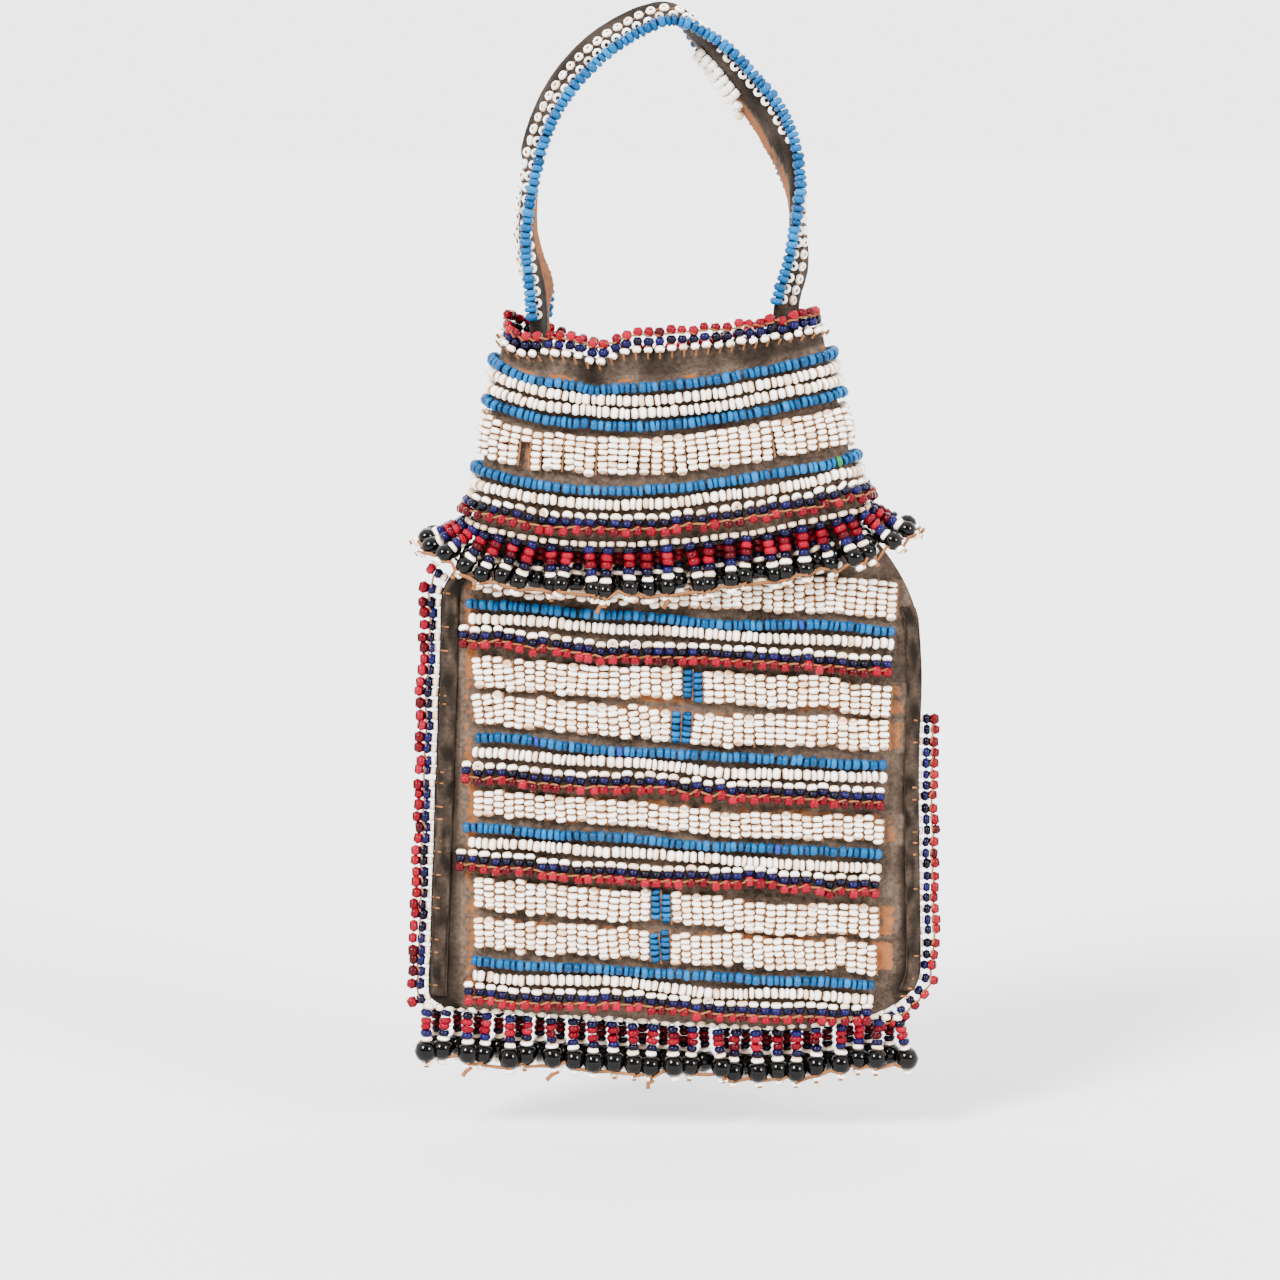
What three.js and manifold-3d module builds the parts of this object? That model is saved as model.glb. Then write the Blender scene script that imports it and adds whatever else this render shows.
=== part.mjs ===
// Beaded tobacco bag: a flat hide pouch, a tapered hide neck over its top, an arched strap handle,
// and the bead rows, bands, edgings and fringes that are sewn on them.
// Millimetres, +Z up, the front faces -Y. The origin is the underside of the strap at its top.
import * as THREE from 'three';
import { mergeVertices } from 'three/addons/utils/BufferGeometryUtils.js';
import Module from 'manifold-3d';

const { lerp, smoothstep, clamp, degToRad } = THREE.MathUtils;

// Hide, beads and the clearance between pieces that are sewn face to face
const HIDE = 1.3;
const GAP = 0.3;
const BEAD = 2.4;
const BEAD_LENGTH = 1.33;
const COLUMN_PITCH = 2.47;
const COLUMN_GROOVE = 1.1;
const PICOT_HEIGHT = 5;
const PICOT_STAND = 2.9;
const PICOT_CREST = 1;
const PICOT_CREST_STAND = 1.8;
const PICOT_OVERHANG = 1.5;
const TIGHT_SPACE = 0.5;

// Strap handle
const STRAP_HEIGHT = 66.4;
const STRAP_WIDTH = 12;
const STRAP_THICKNESS = 3;
const MOUTH_Z = STRAP_THICKNESS / 2 - STRAP_HEIGHT;
const STRAP_TUCK = 12;
const LEFT_END_TWIST = -12;
const RIGHT_END_TWIST = 16;
const STRAP_STEPS = 24;
const STRAP_ROW_STEPS = 18;
const WHITE_ROW_SPACING = 3.6;
const PATCH_WIDTH = 5;
const PATCH_FROM = 0.53;
const PATCH_TO = 0.63;
const PATCH_STEPS = 3;

// Neck
const MOUTH_HALF_WIDTH = 33.8;
const NECK_SPREAD = 8.2;
const MOUTH_HALF_DEPTH = 11;
const NECK_HALF_DEPTH = 10.5;
const NECK_SQUARENESS = 4;
const MOUTH_SAG = 3.4;
const NECK_SAG = 6;
const LOW_NECK_SAG = 5.3;
const SAG_TO_LEFT = 0.35;
const MOUTH_TILT = 0.5;
const NECK_TILT = 1.6;
const MOUTH_LEAN = -1.2;
const MOUTH_EDGING_HEIGHT = 4.4;
const BARE_HIDE_BELOW_MOUTH = 4;
const NECK_SPACE = 2.4;
const NECK_BAND_BEADS = 5;
const NECK_HEM = 0.6;
const NECK_STATIONS = 22;
const FINE_STATIONS = 100000;

// Pouch
const ROW_SLOPE = 0.065;
const BODY_SPACE = 1.65;
const FIRST_BAND_BELOW_NECK = 9.4;
const POUCH_TUCK = 8;
const SHOULDER_HEIGHT = 15;
const POUCH_TOP_LEFT = 47.7;
const POUCH_TOP_RIGHT = 52.9;
const POUCH_BOTTOM_LEFT = 51.2;
const POUCH_BOTTOM_RIGHT = 54.8;
const LEFT_CORNER = 3;
const RIGHT_CORNER = 16;
const RIGHT_CORNER_WIDTH = 40;
const POUCH_TOP_BULGE = 6.6;
const POUCH_LOW_BULGE = 4.6;
const HEM_TAPER = 22;
const HEM = 0.8;
const LEFT_BORDER_WIDTH = 3.6;
const RIGHT_BORDER_WIDTH = 3.2;
const ROW_INSET = 0.4;
const ROW_SHORTENING = 4.8;
const TICK_COLUMNS = 2;
const COLUMNS_A_FOOT_STEP = 3;
const PANEL_COLUMNS = 8;
const BORDER_STEPS = 9;
const ROW_STEPS = 8;
const HEM_STEPS = 4;
const SIDE_LEVELS = [0.35, 0.7];
const CORNER_REACH = 0.5;
const CORNER_LEVELS = [0.6, 0.3, 0.12, 0.03, 0];
const RIGHT_EDGING_START = 23;

// Fringe strands
const STRAND_PITCH = 4.4;
const STRAND_THICKNESS = 1.9;
const STALK_LENGTH = 7.4;
const LARGE_BEAD = 4;
const TIP_LENGTH = 1.5;
const TIP_TAPER = 0.8;
const BEAD_FLAT = 0.42;
const STRAND_SIDES = 4;
const SIDE_FLARE = 7.4;
const FRONT_FLARE = 0.8;
const EDGING_WIDTH = 4.6;
const EDGING_THICKNESS = 2.2;

// Beadwork on the front of the pouch, from the top: each group is one or two bands, given by their
// height in beads and the middle of their blue tick, and below them a blue, a white and a picot row.
const BODY_GROUPS = [
  [{ beads: 6 }],
  [{ beads: 5, tick: 5.5 }, { beads: 5, tick: 3 }],
  [{ beads: 4 }],
  [{ beads: 5, tick: -0.5 }, { beads: 5, tick: -1.1 }],
];

// The strap's middle line from left to right: part of the way between its two seats in the mouth,
// part of its height above the mouth, twist in degrees
const STRAP_LINE = [
  [-0.052, 0.301, 2],
  [-0.03, 0.497, 9],
  [0.031, 0.67, 12],
  [0.146, 0.819, 15],
  [0.325, 0.94, 15],
  [0.534, 1, 8],
  [0.683, 0.913, -14],
  [0.831, 0.774, -27],
  [0.953, 0.636, -28],
  [1.025, 0.467, -15],
  [1.044, 0.354, 2],
  [1.04, 0.211, 14],
];

const wasm = await Module();
wasm.setup();

// Finishes

function finish(color, roughness) {
  return new THREE.MeshStandardMaterial({ color, roughness, metalness: 0 });
}

const hide = finish(0x4a3b30, 0.85);
const blueBeads = finish(0x2f86bd, 0.3);
const whiteBeads = finish(0xe9e2d3, 0.4);
const redBeads = finish(0xb8283a, 0.25);
const navyBeads = finish(0x1b1f5c, 0.25);
const blackBeads = finish(0x0d0b0c, 0.15);

// Closed surfaces

function signedVolume(points, faces) {
  const corner = new THREE.Vector3();
  let total = 0;
  for (const [a, b, c] of faces) {
    total += points[a].dot(corner.crossVectors(points[b], points[c])) / 6;
  }
  return total;
}

function closedSurface(points, faces) {
  const outward = signedVolume(points, faces) > 0;
  const index = faces.flatMap(([a, b, c]) => (outward ? [a, b, c] : [a, c, b]));
  const geometry = new THREE.BufferGeometry().setFromPoints(points);
  geometry.setIndex(index);
  return geometry;
}

// Skin over a row of equal rings. An open run is capped by a strip across its first and last ring.
function loft(rings, isLoop = false) {
  const size = rings[0].length;
  const faces = [];
  const spans = isLoop ? rings.length : rings.length - 1;
  for (let ring = 0; ring < spans; ring += 1) {
    const here = ring * size;
    const next = ((ring + 1) % rings.length) * size;
    for (let side = 0; side < size; side += 1) {
      const turn = (side + 1) % size;
      faces.push([here + side, here + turn, next + turn], [here + side, next + turn, next + side]);
    }
  }
  if (!isLoop) {
    const last = (rings.length - 1) * size;
    for (let side = 0; side < size / 2 - 1; side += 1) {
      const far = size - 1 - side;
      faces.push([side, far, far - 1], [side, far - 1, side + 1]);
      faces.push([last + side, last + far - 1, last + far], [last + side, last + side + 1, last + far - 1]);
    }
  }
  return closedSurface(rings.flat(), faces);
}

function steps(from, to, count) {
  return Array.from({ length: count + 1 }, (_, step) => lerp(from, to, step / count));
}

// Four-sided ridge: the section of a strung bead row, standing a clearance off the hide
function ridge(middle, width, height, foot = GAP) {
  return [
    [middle - width / 2, foot + height / 2],
    [middle, foot + height],
    [middle + width / 2, foot + height / 2],
    [middle, foot],
  ];
}

function block(from, to, foot, top) {
  return [[from, foot], [from, top], [to, top], [to, foot]];
}

// Picot row: low where its white beads lie on the hide, proud at its lower, red edge
function picotSection(start) {
  const end = start + PICOT_HEIGHT;
  return [
    [start, GAP],
    [start + PICOT_CREST, GAP + PICOT_CREST_STAND],
    [end, GAP + PICOT_STAND],
    [end - PICOT_OVERHANG, GAP],
  ];
}

// Booleans

function toManifold(geometry) {
  const bare = geometry.clone();
  bare.deleteAttribute('normal');
  bare.deleteAttribute('uv');
  const merged = mergeVertices(bare, 1e-4);
  const index = merged.index.array;
  const faces = [];
  for (let start = 0; start < index.length; start += 3) {
    const [a, b, c] = index.slice(start, start + 3);
    if (a !== b && b !== c && c !== a) faces.push(a, b, c);
  }
  return new wasm.Manifold(new wasm.Mesh({
    numProp: 3,
    vertProperties: new Float32Array(merged.attributes.position.array),
    triVerts: new Uint32Array(faces),
  }));
}

function fromManifold(solid) {
  const { vertProperties, triVerts } = solid.getMesh();
  const geometry = new THREE.BufferGeometry();
  geometry.setAttribute('position', new THREE.BufferAttribute(vertProperties, 3));
  geometry.setIndex(new THREE.BufferAttribute(triVerts, 1));
  return geometry;
}

function join(geometries) {
  const solids = geometries.map(toManifold);
  return fromManifold(solids.reduce((whole, piece) => whole.add(piece)));
}

// Scene graph

function group(name) {
  const made = new THREE.Group();
  made.name = name;
  return made;
}

function addPiece(parent, name, geometry, material) {
  const mesh = new THREE.Mesh(geometry, material);
  mesh.name = name;
  parent.add(mesh);
}

const bag = group('beaded_tobacco_bag');
const handle = group('handle');
const neck = group('neck');
const pouch = group('pouch');
bag.add(handle, neck, pouch);

// Heights down the neck, from the mouth's edge

const neckRows = [];
let neckDrop = BARE_HIDE_BELOW_MOUTH;

function stackNeckRow(name, height, material, spaceBelow) {
  neckRows.push({ name, material, start: neckDrop, height });
  neckDrop += height + spaceBelow;
}

stackNeckRow('neck_blue_row_1', BEAD, blueBeads, TIGHT_SPACE);
stackNeckRow('neck_white_row_1', BEAD, whiteBeads, TIGHT_SPACE);
stackNeckRow('neck_white_row_2', BEAD, whiteBeads, TIGHT_SPACE);
stackNeckRow('neck_blue_row_2', BEAD, blueBeads, NECK_SPACE);
const neckBandStart = neckDrop;
neckDrop += NECK_BAND_BEADS * BEAD_LENGTH + NECK_SPACE;
stackNeckRow('neck_blue_row_3', BEAD, blueBeads, TIGHT_SPACE);
stackNeckRow('neck_white_row_3', BEAD, whiteBeads, TIGHT_SPACE);
const neckPicotStart = neckDrop;
const fringeRowStart = neckPicotStart + PICOT_HEIGHT + TIGHT_SPACE;
const NECK_LENGTH = fringeRowStart + BEAD + NECK_HEM;

// The neck is a flattened cone: its rows sag between its sides, lower to the left, and rise to the right

function neckHalfWidth(drop) {
  return MOUTH_HALF_WIDTH + NECK_SPREAD * (drop / NECK_LENGTH);
}

function neckHalfDepth(drop) {
  return lerp(MOUTH_HALF_DEPTH, NECK_HALF_DEPTH, clamp(drop / NECK_LENGTH, 0, 1));
}

function rounded(value) {
  return Math.sign(value) * Math.abs(value) ** (2 / NECK_SQUARENESS);
}

function neckPoint(angle, drop, out) {
  const across = rounded(Math.cos(angle));
  const through = rounded(Math.sin(angle));
  const settle = smoothstep(drop, 0, BARE_HIDE_BELOW_MOUTH);
  const ease = smoothstep(drop, BARE_HIDE_BELOW_MOUTH, NECK_LENGTH / 2);
  const depth = lerp(MOUTH_SAG, lerp(NECK_SAG, LOW_NECK_SAG, ease), settle);
  const sag = depth * (1 - across * across) * (1 - SAG_TO_LEFT * across);
  const down = clamp(drop / NECK_LENGTH, 0, 1);
  const lean = MOUTH_LEAN * (1 - down);
  const rise = lerp(MOUTH_TILT, NECK_TILT, down) * across;
  return new THREE.Vector3(
    lean + (neckHalfWidth(drop) + out) * across,
    (neckHalfDepth(drop) + out) * through,
    MOUTH_Z - drop - sag + rise,
  );
}

// Angles of the middles of equal lengths round a ring of the neck
function evenAngles(count, ring) {
  const fine = steps(0, 2 * Math.PI, FINE_STATIONS);
  const travelled = [0];
  for (let step = 1; step <= FINE_STATIONS; step += 1) {
    const span = ring(fine[step]).distanceTo(ring(fine[step - 1]));
    travelled.push(travelled[step - 1] + span);
  }
  const angles = [];
  let step = 0;
  for (let part = 0; part < count; part += 1) {
    while (travelled[step] < (travelled[FINE_STATIONS] * (part + 0.5)) / count) step += 1;
    angles.push(fine[step]);
  }
  return { angles, length: travelled[FINE_STATIONS] };
}

// Stations of the plain loops: close at the rounded corners, and one in the middle of the front and back
const stationStep = (2 * Math.PI) / NECK_STATIONS;
const neckAngles = steps(stationStep / 2, 2 * Math.PI - stationStep / 2, NECK_STATIONS - 1);

function neckLoop(section) {
  const rings = neckAngles.map((angle) => section.map(([drop, out]) => neckPoint(angle, drop, out)));
  return loft(rings, true);
}

const tubeDrops = [0, BARE_HIDE_BELOW_MOUTH, NECK_LENGTH / 2, NECK_LENGTH];
const tubeSection = [
  ...tubeDrops.map((drop) => [drop, 0]),
  ...tubeDrops.toReversed().map((drop) => [drop, -HIDE]),
];
addPiece(neck, 'neck_tube', neckLoop(tubeSection), hide);

const edgingFoot = -HIDE / 2 - EDGING_THICKNESS / 2;
const mouthEdging = block(-GAP - MOUTH_EDGING_HEIGHT, -GAP, edgingFoot, edgingFoot + EDGING_THICKNESS);
addPiece(neck, 'mouth_edging', neckLoop(mouthEdging), redBeads);

for (const row of neckRows) {
  addPiece(neck, row.name, neckLoop(ridge(row.start + row.height / 2, row.height, BEAD)), row.material);
}
addPiece(neck, 'neck_picot_row', neckLoop(picotSection(neckPicotStart)), redBeads);

// The wide band stands in columns of beads, with a groove between each two
function neckBand() {
  const end = neckBandStart + NECK_BAND_BEADS * BEAD_LENGTH;
  const middle = (neckBandStart + end) / 2;
  const ring = (angle) => neckPoint(angle, middle, 0);
  const columns = Math.round(evenAngles(1, ring).length / COLUMN_PITCH);
  const { angles } = evenAngles(2 * columns, ring);
  const rings = angles.map((angle, station) => {
    const top = GAP + (station % 2 ? BEAD : COLUMN_GROOVE);
    return [
      neckPoint(angle, neckBandStart, top),
      neckPoint(angle, end, top),
      neckPoint(angle, middle, GAP),
    ];
  });
  return loft(rings, true);
}

addPiece(neck, 'neck_white_band', neckBand(), whiteBeads);

// Fringe strand: a stalk of small beads, a large bead and a tip, turned about its thread
const strandRadius = STRAND_THICKNESS / 2;
const bead = LARGE_BEAD / 2;
const beadMiddle = STALK_LENGTH + bead;
const strandProfile = [
  [0, 0],
  [strandRadius, 0],
  [strandRadius, STALK_LENGTH],
  [bead, beadMiddle - bead * BEAD_FLAT],
  [bead, beadMiddle + bead * BEAD_FLAT],
  [strandRadius * TIP_TAPER, beadMiddle + bead],
  [0, beadMiddle + bead + TIP_LENGTH],
].map(([radius, along]) => new THREE.Vector2(radius, -along));

function strand(top, direction) {
  const down = new THREE.Vector3(0, -1, 0);
  const turn = new THREE.Quaternion().setFromUnitVectors(down, direction.normalize());
  const geometry = new THREE.LatheGeometry(strandProfile.toReversed(), STRAND_SIDES);
  return geometry.applyQuaternion(turn).translate(top.x, top.y, top.z);
}

// The neck fringe flares over the shoulders: its large beads lie evenly on a wider ring than its row
function neckFringe() {
  const middle = fringeRowStart + BEAD / 2;
  const rowAt = (angle) => neckPoint(angle, middle, GAP + BEAD / 2);
  const beadOut = GAP + BEAD / 2 + FRONT_FLARE;
  const flare = SIDE_FLARE / (neckHalfWidth(middle) + beadOut);
  const widen = new THREE.Vector3(1 + flare, 1, 1);
  const beadAt = (angle) => neckPoint(angle, middle, beadOut).multiply(widen);
  const rowAngle = (angle) => {
    const across = rounded(Math.cos(angle));
    const start = across * (1 + flare * (1 - across * across));
    const turn = Math.acos(clamp(Math.sign(start) * Math.abs(start) ** (NECK_SQUARENESS / 2), -1, 1));
    return Math.sin(angle) < 0 ? -turn : turn;
  };
  const row = neckLoop(block(fringeRowStart, fringeRowStart + BEAD, GAP, GAP + BEAD));
  const count = Math.round(evenAngles(1, beadAt).length / STRAND_PITCH);
  const strands = evenAngles(count, beadAt).angles.map((angle) => {
    const top = rowAt(rowAngle(angle));
    const direction = beadAt(angle).sub(top).setZ(0);
    return strand(top, direction.setZ(-Math.sqrt(beadMiddle ** 2 - direction.lengthSq())));
  });
  return join([row, ...strands]);
}

addPiece(neck, 'neck_fringe', neckFringe(), blackBeads);

// Strap: a ribbon along its middle line, twisted about it

// Its ends lie inside the mouth, one edge of each near its side and clear of the edging
const strapClearance = HIDE / 2 + EDGING_THICKNESS / 2 + GAP;

function mouthReach(halfSpan) {
  const depth = MOUTH_HALF_DEPTH - strapClearance;
  const width = MOUTH_HALF_WIDTH - strapClearance;
  return width * (1 - (halfSpan / depth) ** NECK_SQUARENESS) ** (1 / NECK_SQUARENESS);
}

function strapSeat(twist) {
  const turn = degToRad(Math.abs(twist));
  const halfAcross = (STRAP_WIDTH * Math.sin(turn) + STRAP_THICKNESS * Math.cos(turn)) / 2;
  const halfThrough = (STRAP_WIDTH * Math.cos(turn) + STRAP_THICKNESS * Math.sin(turn)) / 2;
  return mouthReach(halfThrough) - halfAcross - 2 * GAP;
}

const overEdging = MOUTH_EDGING_HEIGHT + MOUTH_TILT + 2 * GAP;
const leftSeat = MOUTH_LEAN - strapSeat(LEFT_END_TWIST);
const rightSeat = MOUTH_LEAN + strapSeat(RIGHT_END_TWIST);
const strapStations = [
  [leftSeat, -STRAP_TUCK, LEFT_END_TWIST],
  [leftSeat, overEdging, LEFT_END_TWIST],
  ...STRAP_LINE.map(([across, up, twist]) => [lerp(leftSeat, rightSeat, across), STRAP_HEIGHT * up, twist]),
  [rightSeat, overEdging, RIGHT_END_TWIST],
  [rightSeat, -STRAP_TUCK, RIGHT_END_TWIST],
];
const strapLine = new THREE.CatmullRomCurve3(
  strapStations.map(([across, rise]) => new THREE.Vector3(across, 0, MOUTH_Z + rise)),
);
const strapTwist = new THREE.SplineCurve(
  strapStations.map(([, , twist], step) => new THREE.Vector2(step, degToRad(twist))),
);
const rowsFrom = 1 / (strapStations.length - 1);
const rowsTo = 1 - rowsFrom;

function strapPoint(along, width, out) {
  const middle = strapLine.getPoint(along);
  const forward = strapLine.getTangent(along);
  const normal = new THREE.Vector3(-forward.z, 0, forward.x);
  const twist = strapTwist.getPoint(along).y;
  const back = new THREE.Vector3(0, Math.cos(twist), 0).addScaledVector(normal, Math.sin(twist));
  const face = normal.multiplyScalar(Math.cos(twist)).add(new THREE.Vector3(0, -Math.sin(twist), 0));
  return middle.addScaledVector(back, width).addScaledVector(face, out);
}

function strapRun(from, to, count, section) {
  const ring = (along) => section.map(([width, out]) => strapPoint(along, width, out));
  return steps(from, to, count).map(ring);
}

const halfStrap = STRAP_WIDTH / 2;
const halfThick = STRAP_THICKNESS / 2;
const strapSection = [
  ...[-halfStrap, 0, halfStrap].map((width) => [width, -halfThick]),
  ...[halfStrap, 0, -halfStrap].map((width) => [width, halfThick]),
];
const strapRings = strapRun(0, 1, STRAP_STEPS, strapSection);
addPiece(handle, 'strap', loft(strapRings), hide);

function strapRow(name, section, material) {
  addPiece(handle, name, loft(strapRun(rowsFrom, rowsTo, STRAP_ROW_STEPS, section)), material);
}

const edgeRow = halfStrap + GAP + BEAD / 2;
const whiteRowFoot = halfThick + 2 * GAP;
strapRow('strap_front_blue_row', ridge(-edgeRow, BEAD, BEAD, -BEAD / 2), blueBeads);
strapRow('strap_back_blue_row', ridge(edgeRow, BEAD, BEAD, -BEAD / 2), blueBeads);
const firstWhiteRow = -halfStrap + BEAD / 2 + TIGHT_SPACE;
const secondWhiteRow = firstWhiteRow + WHITE_ROW_SPACING;
strapRow('strap_white_row_1', ridge(firstWhiteRow, BEAD, BEAD_LENGTH, whiteRowFoot), whiteBeads);
strapRow('strap_white_row_2', ridge(secondWhiteRow, BEAD, BEAD_LENGTH, whiteRowFoot), whiteBeads);

const patchSection = block(halfStrap - PATCH_WIDTH, halfStrap, -whiteRowFoot - BEAD_LENGTH, -whiteRowFoot);
const patchRings = strapRun(PATCH_FROM, PATCH_TO, PATCH_STEPS, patchSection);
addPiece(handle, 'strap_inner_white_patch', loft(patchRings), whiteBeads);

// Heights down the pouch, from the mouth's edge along the middle line

const bodyTop = NECK_LENGTH + FIRST_BAND_BELOW_NECK;
const pieces = [];
let bodyDrop = bodyTop;
let bandCount = 0;
BODY_GROUPS.forEach((bands, index) => {
  for (const { beads, tick } of bands) {
    bandCount += 1;
    const height = beads * BEAD_LENGTH;
    pieces.push({ kind: 'band', number: bandCount, start: bodyDrop, height, tick });
    bodyDrop += height + BODY_SPACE;
  }
  pieces.push({ kind: 'blue', number: index + 1, start: bodyDrop, height: BEAD });
  bodyDrop += BEAD + TIGHT_SPACE;
  pieces.push({ kind: 'white', number: index + 1, start: bodyDrop, height: BEAD });
  bodyDrop += BEAD + TIGHT_SPACE;
  pieces.push({ kind: 'picot', number: index + 1, start: bodyDrop, height: PICOT_HEIGHT });
  bodyDrop += PICOT_HEIGHT + BODY_SPACE;
});
const POUCH_BOTTOM = bodyDrop - BODY_SPACE + HEM;
const pouchTop = NECK_LENGTH - POUCH_TUCK;

// Outline and bulge of the pouch: it opens inside the neck, spreads at the shoulders, and closes at its hem

function pouchEdge(drop, top, bottom, [corner, cornerWidth], neckDropAtEdge) {
  const inNeck = neckHalfWidth(Math.min(neckDropAtEdge, NECK_LENGTH)) - HIDE - 2 * GAP;
  const shoulder = smoothstep(neckDropAtEdge, NECK_LENGTH, NECK_LENGTH + SHOULDER_HEIGHT);
  const sideStart = NECK_LENGTH + SHOULDER_HEIGHT;
  const side = lerp(top, bottom, clamp((drop - sideStart) / (POUCH_BOTTOM - sideStart), 0, 1));
  const intoCorner = clamp(corner - (POUCH_BOTTOM - drop), 0, corner);
  const cut = cornerWidth * (1 - Math.sqrt(1 - (intoCorner / corner) ** 2));
  return lerp(inNeck, side, shoulder) - cut;
}

const slopeRise = ROW_SLOPE * neckHalfWidth(NECK_LENGTH) + NECK_TILT;

function leftEdge(drop) {
  return -pouchEdge(drop, POUCH_TOP_LEFT, POUCH_BOTTOM_LEFT, [LEFT_CORNER, LEFT_CORNER], drop - slopeRise);
}

function rightEdge(drop) {
  const corner = [RIGHT_CORNER, RIGHT_CORNER_WIDTH];
  return pouchEdge(drop, POUCH_TOP_RIGHT, POUCH_BOTTOM_RIGHT, corner, drop + slopeRise);
}

const seam = GAP / 2 + HIDE;

function bulge(drop) {
  const sewnIn = NECK_HALF_DEPTH - HIDE - GAP;
  const down = clamp((drop - bodyTop) / (POUCH_BOTTOM - bodyTop), 0, 1);
  const below = lerp(POUCH_TOP_BULGE, POUCH_LOW_BULGE, down);
  const open = lerp(sewnIn, below, smoothstep(drop, NECK_LENGTH - POUCH_TUCK / 4, bodyTop));
  return lerp(seam, open, Math.sqrt(clamp((POUCH_BOTTOM - drop) / HEM_TAPER, 0, 1)));
}

function pouchDepth(across, drop) {
  const left = leftEdge(drop);
  const right = rightEdge(drop);
  const side = clamp((2 * across - left - right) / (right - left), -1, 1);
  return seam + (bulge(drop) - seam) * (1 - Math.abs(side) ** 3);
}

// A point on the pouch: out is measured from the outer face of the hide
function pouchPoint(across, drop, out) {
  return new THREE.Vector3(across, -pouchDepth(across, drop) - out, MOUTH_Z - drop - ROW_SLOPE * across);
}

const cornerLevels = CORNER_LEVELS.map((part) => POUCH_BOTTOM - RIGHT_CORNER * part);
const panelLevels = [
  pouchTop,
  NECK_LENGTH - slopeRise,
  NECK_LENGTH + slopeRise,
  bodyTop,
  NECK_LENGTH + SHOULDER_HEIGHT,
  ...SIDE_LEVELS.map((part) => lerp(NECK_LENGTH + SHOULDER_HEIGHT, POUCH_BOTTOM, part)),
  ...cornerLevels,
];

function panel() {
  const rings = panelLevels.map((drop) => {
    const columns = steps(leftEdge(drop), rightEdge(drop), PANEL_COLUMNS);
    const outer = columns.map((across) => pouchPoint(across, drop, 0));
    const inner = columns.toReversed().map((across) => pouchPoint(across, drop, -HIDE));
    return [...outer, ...inner];
  });
  return loft(rings);
}

const frontPanel = panel();
const backPanel = closedSurface(
  toPoints(frontPanel).map((point) => point.multiply(new THREE.Vector3(1, -1, 1))),
  toFaces(frontPanel),
);

function toPoints(geometry) {
  const position = geometry.attributes.position;
  const corners = Array.from({ length: position.count }, (_, at) => at);
  return corners.map((at) => new THREE.Vector3().fromBufferAttribute(position, at));
}

function toFaces(geometry) {
  const index = geometry.index.array;
  return Array.from({ length: index.length / 3 }, (_, face) => [...index.slice(3 * face, 3 * face + 3)]);
}

addPiece(pouch, 'pouch_front_panel', frontPanel, hide);
addPiece(pouch, 'pouch_back_panel', backPanel, hide);

// Borders: folded hide strips on the front panel, inside each side edge
const borderTop = NECK_LENGTH + SHOULDER_HEIGHT;
const [cornerTop, , leftCornerTop] = cornerLevels;

function border(edge, inward, borderBottom) {
  const rings = steps(borderTop, borderBottom, BORDER_STEPS).map((drop) => {
    const outerSide = edge(drop) + Math.sign(inward) * GAP;
    const section = block(outerSide, outerSide + inward, GAP, GAP + HIDE);
    return section.map(([across, out]) => pouchPoint(across, drop, out));
  });
  return loft(rings);
}

addPiece(pouch, 'left_border', border(leftEdge, LEFT_BORDER_WIDTH, leftCornerTop), hide);
addPiece(pouch, 'right_border', border(rightEdge, -RIGHT_BORDER_WIDTH, cornerTop), hide);

// Rows and picot rows are strung across the front panel

const rowLeft = leftEdge(borderTop) + GAP + LEFT_BORDER_WIDTH + ROW_INSET;
const rowTopRight = rightEdge(borderTop) - GAP - RIGHT_BORDER_WIDTH - ROW_INSET;

function rowRight(drop) {
  return rowTopRight - (ROW_SHORTENING * (drop - bodyTop)) / (POUCH_BOTTOM - bodyTop);
}

function bodyRow(section, drop) {
  const rings = steps(rowLeft, rowRight(drop), ROW_STEPS).map((across) =>
    section.map(([at, out]) => pouchPoint(across, at, out)));
  return loft(rings);
}

// Band: its front has a ridge for each bead column, and its foot follows the hide in longer steps
function bandRun(from, to, columns, start, height) {
  const front = steps(from, to, 2 * columns);
  const foot = steps(from, to, Math.max(1, Math.round(columns / COLUMNS_A_FOOT_STEP)));
  const level = (drop) => [
    ...front.map((across, at) => pouchPoint(across, drop, GAP + (at % 2 ? BEAD : COLUMN_GROOVE))),
    ...foot.map((across) => pouchPoint(across, drop, GAP)),
  ];
  const points = [...level(start), ...level(start + height)];
  const lower = points.length / 2;
  const faces = [];
  const wall = (a, b) => faces.push([a, b, b + lower], [a, b + lower, a + lower]);
  const cap = (a, b, c) => faces.push([a, c, b], [a + lower, b + lower, c + lower]);
  const lastFront = front.length - 1;
  const lastFoot = foot.length - 1;
  let atFront = 0;
  let atFoot = 0;
  wall(front.length, 0);
  while (atFront < lastFront || atFoot < lastFoot) {
    const here = front.length + atFoot;
    if (atFoot < lastFoot && (atFront === lastFront || foot[atFoot + 1] < front[atFront + 1])) {
      cap(here, atFront, here + 1);
      wall(here + 1, here);
      atFoot += 1;
    } else {
      cap(here, atFront, atFront + 1);
      wall(atFront, atFront + 1);
      atFront += 1;
    }
  }
  wall(lastFront, front.length + lastFoot);
  return closedSurface(points, faces);
}

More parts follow.
